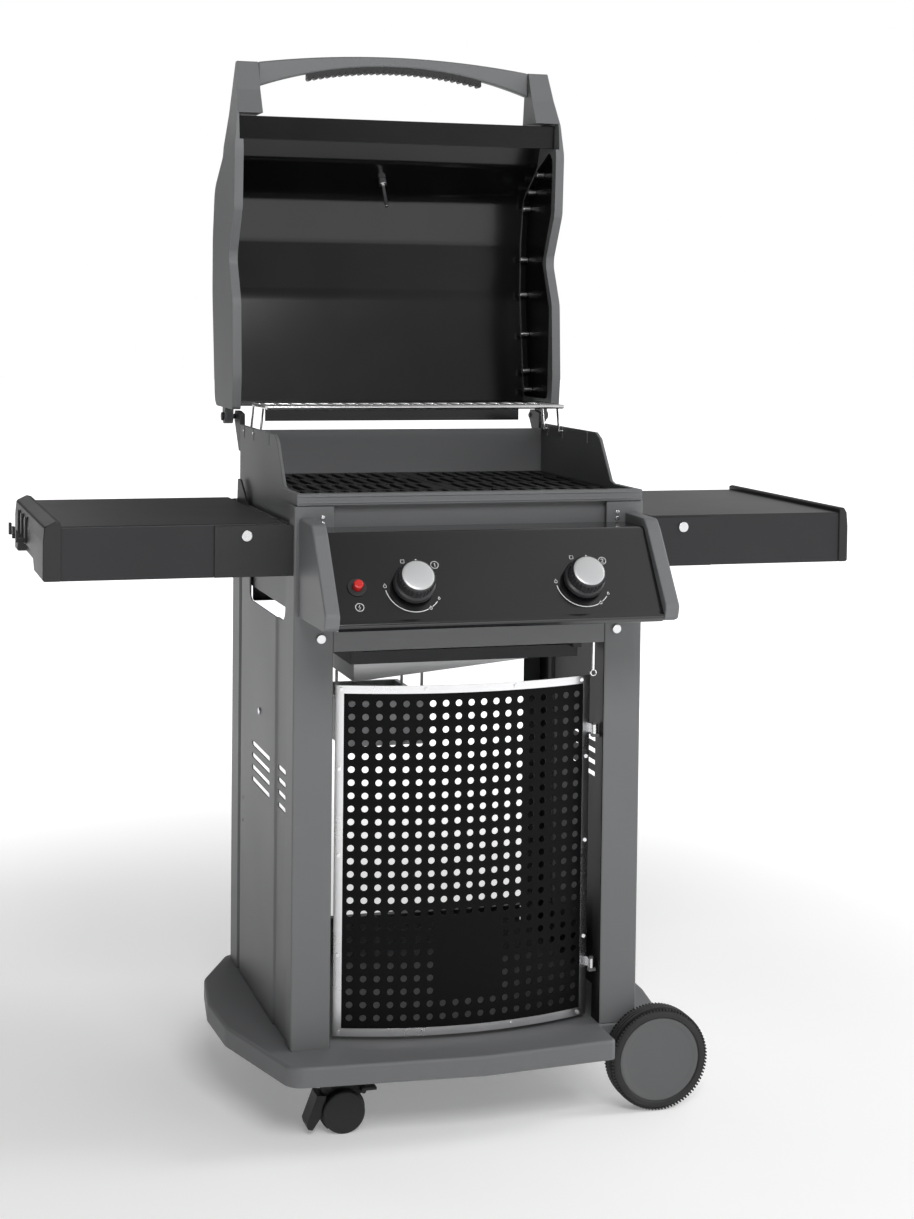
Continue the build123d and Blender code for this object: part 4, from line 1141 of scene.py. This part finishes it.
@dataclass(frozen=True)
class Studio:
    """Pale floor, soft lights and the camera.

    Args:
        eye: Where the camera stands.
        yaw: Its turn from straight ahead, in degrees.
        pitch: Its tilt up, in degrees.
        roll: Its roll, in degrees.
        lens: Focal length in millimetres.
        rise: Vertical lens shift.
        room_low: Brightness of the room at the horizon.
        room_high: Brightness of the room overhead.
        room_back: Share of that brightness behind the grill.
        room_left: Share of it on the left and in the middle.
        room_right: Share of it on the right.
        floor_size: Half width of the floor.
        floor_near: Glow of the floor under the grill.
        floor_fade: Distances from the middle between which that glow rises to 1.
        lights: The lights.
    """

    eye: Point = (-0.9337, -3.2620, 1.2324)
    yaw: float = -16.83
    pitch: float = -2.568
    roll: float = 0.663
    lens: float = 63.28
    rise: float = -0.1719
    room_low: float = 0.42
    room_high: float = 0.5
    room_back: float = 0.8
    room_left: float = 0.12
    room_right: float = 2.2
    floor_size: float = 30.0
    floor_near: float = 0.22
    floor_fade: tuple[float, float] = (0.7, 3.2)
    lights: tuple[Light, ...] = field(default_factory=lambda: (
        Light("key", (-0.3, -3.9, 3.5), (0.0, 0.0, 0.8), (2.2, 1.6), 112.0),
        Light("left", (-3.4, -1.6, 2.0), (0.0, 0.0, 0.9), (1.2, 2.4), 1.0),
        Light("right", (3.4, -0.6, 2.2), (0.0, 0.0, 0.9), (1.2, 2.4), 44.0),
        Light("back", (-1.2, 3.2, 2.6), (0.0, 0.2, 1.0), (2.4, 1.6), 14.0),
    ))

    def build(self) -> None:
        """Sets up floor, world, lights and camera."""
        mesh = bmesh.new()
        bmesh.ops.create_grid(mesh, x_segments=2, y_segments=2, size=self.floor_size)
        data = bpy.data.meshes.new("floor")
        mesh.to_mesh(data)
        mesh.free()
        data.materials.append(self.floor_material())
        floor = bpy.data.objects.new("floor", data)
        bpy.context.scene.collection.objects.link(floor)
        bpy.context.scene.view_settings.view_transform = "Standard"
        self.surroundings()
        for light in self.lights:
            light.build()
        self.camera()

    def surroundings(self) -> None:
        """A white backdrop to look at, and a dimmer room to light by.

        The room is brighter above, in front and to the right.
        """
        world = bpy.data.worlds.new("studio")
        world.use_nodes = True
        tree = world.node_tree
        room = tree.nodes["Background"]
        coords = tree.nodes.new("ShaderNodeTexCoord")
        split = tree.nodes.new("ShaderNodeSeparateXYZ")
        tree.links.new(coords.outputs["Generated"], split.inputs[0])
        height = ramp(tree, split.outputs["Z"], (-0.1, 0.9), (self.room_low, self.room_high))
        depth = ramp(tree, split.outputs["Y"], (1.0, -1.0), (self.room_back, 1.0))
        across = ramp(tree, split.outputs["X"], (0.1, 0.5), (self.room_left, self.room_right), smooth=True)
        tree.links.new(product(tree, height, product(tree, depth, across)), room.inputs["Strength"])
        white = tree.nodes.new("ShaderNodeBackground")
        white.inputs["Color"].default_value = (1.0, 1.0, 1.0, 1.0)
        room.inputs["Color"].default_value = (1.0, 1.0, 1.0, 1.0)
        ray = tree.nodes.new("ShaderNodeLightPath")
        choose = tree.nodes.new("ShaderNodeMixShader")
        tree.links.new(ray.outputs["Is Camera Ray"], choose.inputs[0])
        tree.links.new(room.outputs[0], choose.inputs[1])
        tree.links.new(white.outputs[0], choose.inputs[2])
        tree.links.new(choose.outputs[0], tree.nodes["World Output"].inputs["Surface"])
        bpy.context.scene.world = world

    def floor_material(self) -> bpy.types.Material:
        """A pale matt floor with a faint mottling, which fades to white around the grill.

        Returns:
            The material.
        """
        pale = Finish(
            "PaleFloor", "floor", (0.86, 0.86, 0.86), rough=0.9, shine=0.1, uneven=0.01, wear=0.0,
            dust=0.0,
        ).material()
        tree = pale.node_tree
        shader = tree.nodes["Principled BSDF"]
        shader.inputs["Emission Color"].default_value = (1.0, 1.0, 1.0, 1.0)
        coords = tree.nodes.new("ShaderNodeTexCoord")
        distance = tree.nodes.new("ShaderNodeVectorMath")
        distance.operation = "LENGTH"
        tree.links.new(coords.outputs["Object"], distance.inputs[0])
        glow = ramp(tree, distance.outputs["Value"], self.floor_fade, (self.floor_near, 1.0), smooth=True)
        tree.links.new(glow, shader.inputs["Emission Strength"])
        return pale

    def camera(self) -> None:
        """Places the camera and makes it the scene's own."""
        yaw, pitch, roll = (math.radians(angle) for angle in (self.yaw, self.pitch, self.roll))
        ahead = Vector((-math.sin(yaw) * math.cos(pitch), math.cos(yaw) * math.cos(pitch), math.sin(pitch)))
        level = Vector((math.cos(yaw), math.sin(yaw), 0.0))
        upright = level.cross(ahead)
        right = level * math.cos(roll) + upright * math.sin(roll)
        up = upright * math.cos(roll) - level * math.sin(roll)
        data = bpy.data.cameras.new("view")
        data.lens = self.lens
        data.sensor_width = 36.0
        data.shift_y = self.rise
        data.clip_end = 100.0
        eye = bpy.data.objects.new("view", data)
        turn = Matrix((right, up, -ahead)).transposed().to_4x4()
        eye.matrix_world = Matrix.Translation(Vector(self.eye)) @ turn
        bpy.context.scene.collection.objects.link(eye)
        bpy.context.scene.camera = eye


def main() -> None:
    """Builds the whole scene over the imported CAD."""
    logging.basicConfig(level=logging.INFO, format="%(name)s %(message)s")
    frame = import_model()
    finishes = Finishes()
    for kind in (Cart, Firebox, Lid, Controls, Tables, Door, GreaseTray, RunningGear):
        LOG.info("building %s", kind.__name__)
        kind(frame, finishes).build()
    Studio().build()


if __name__ == "__main__":
    main()
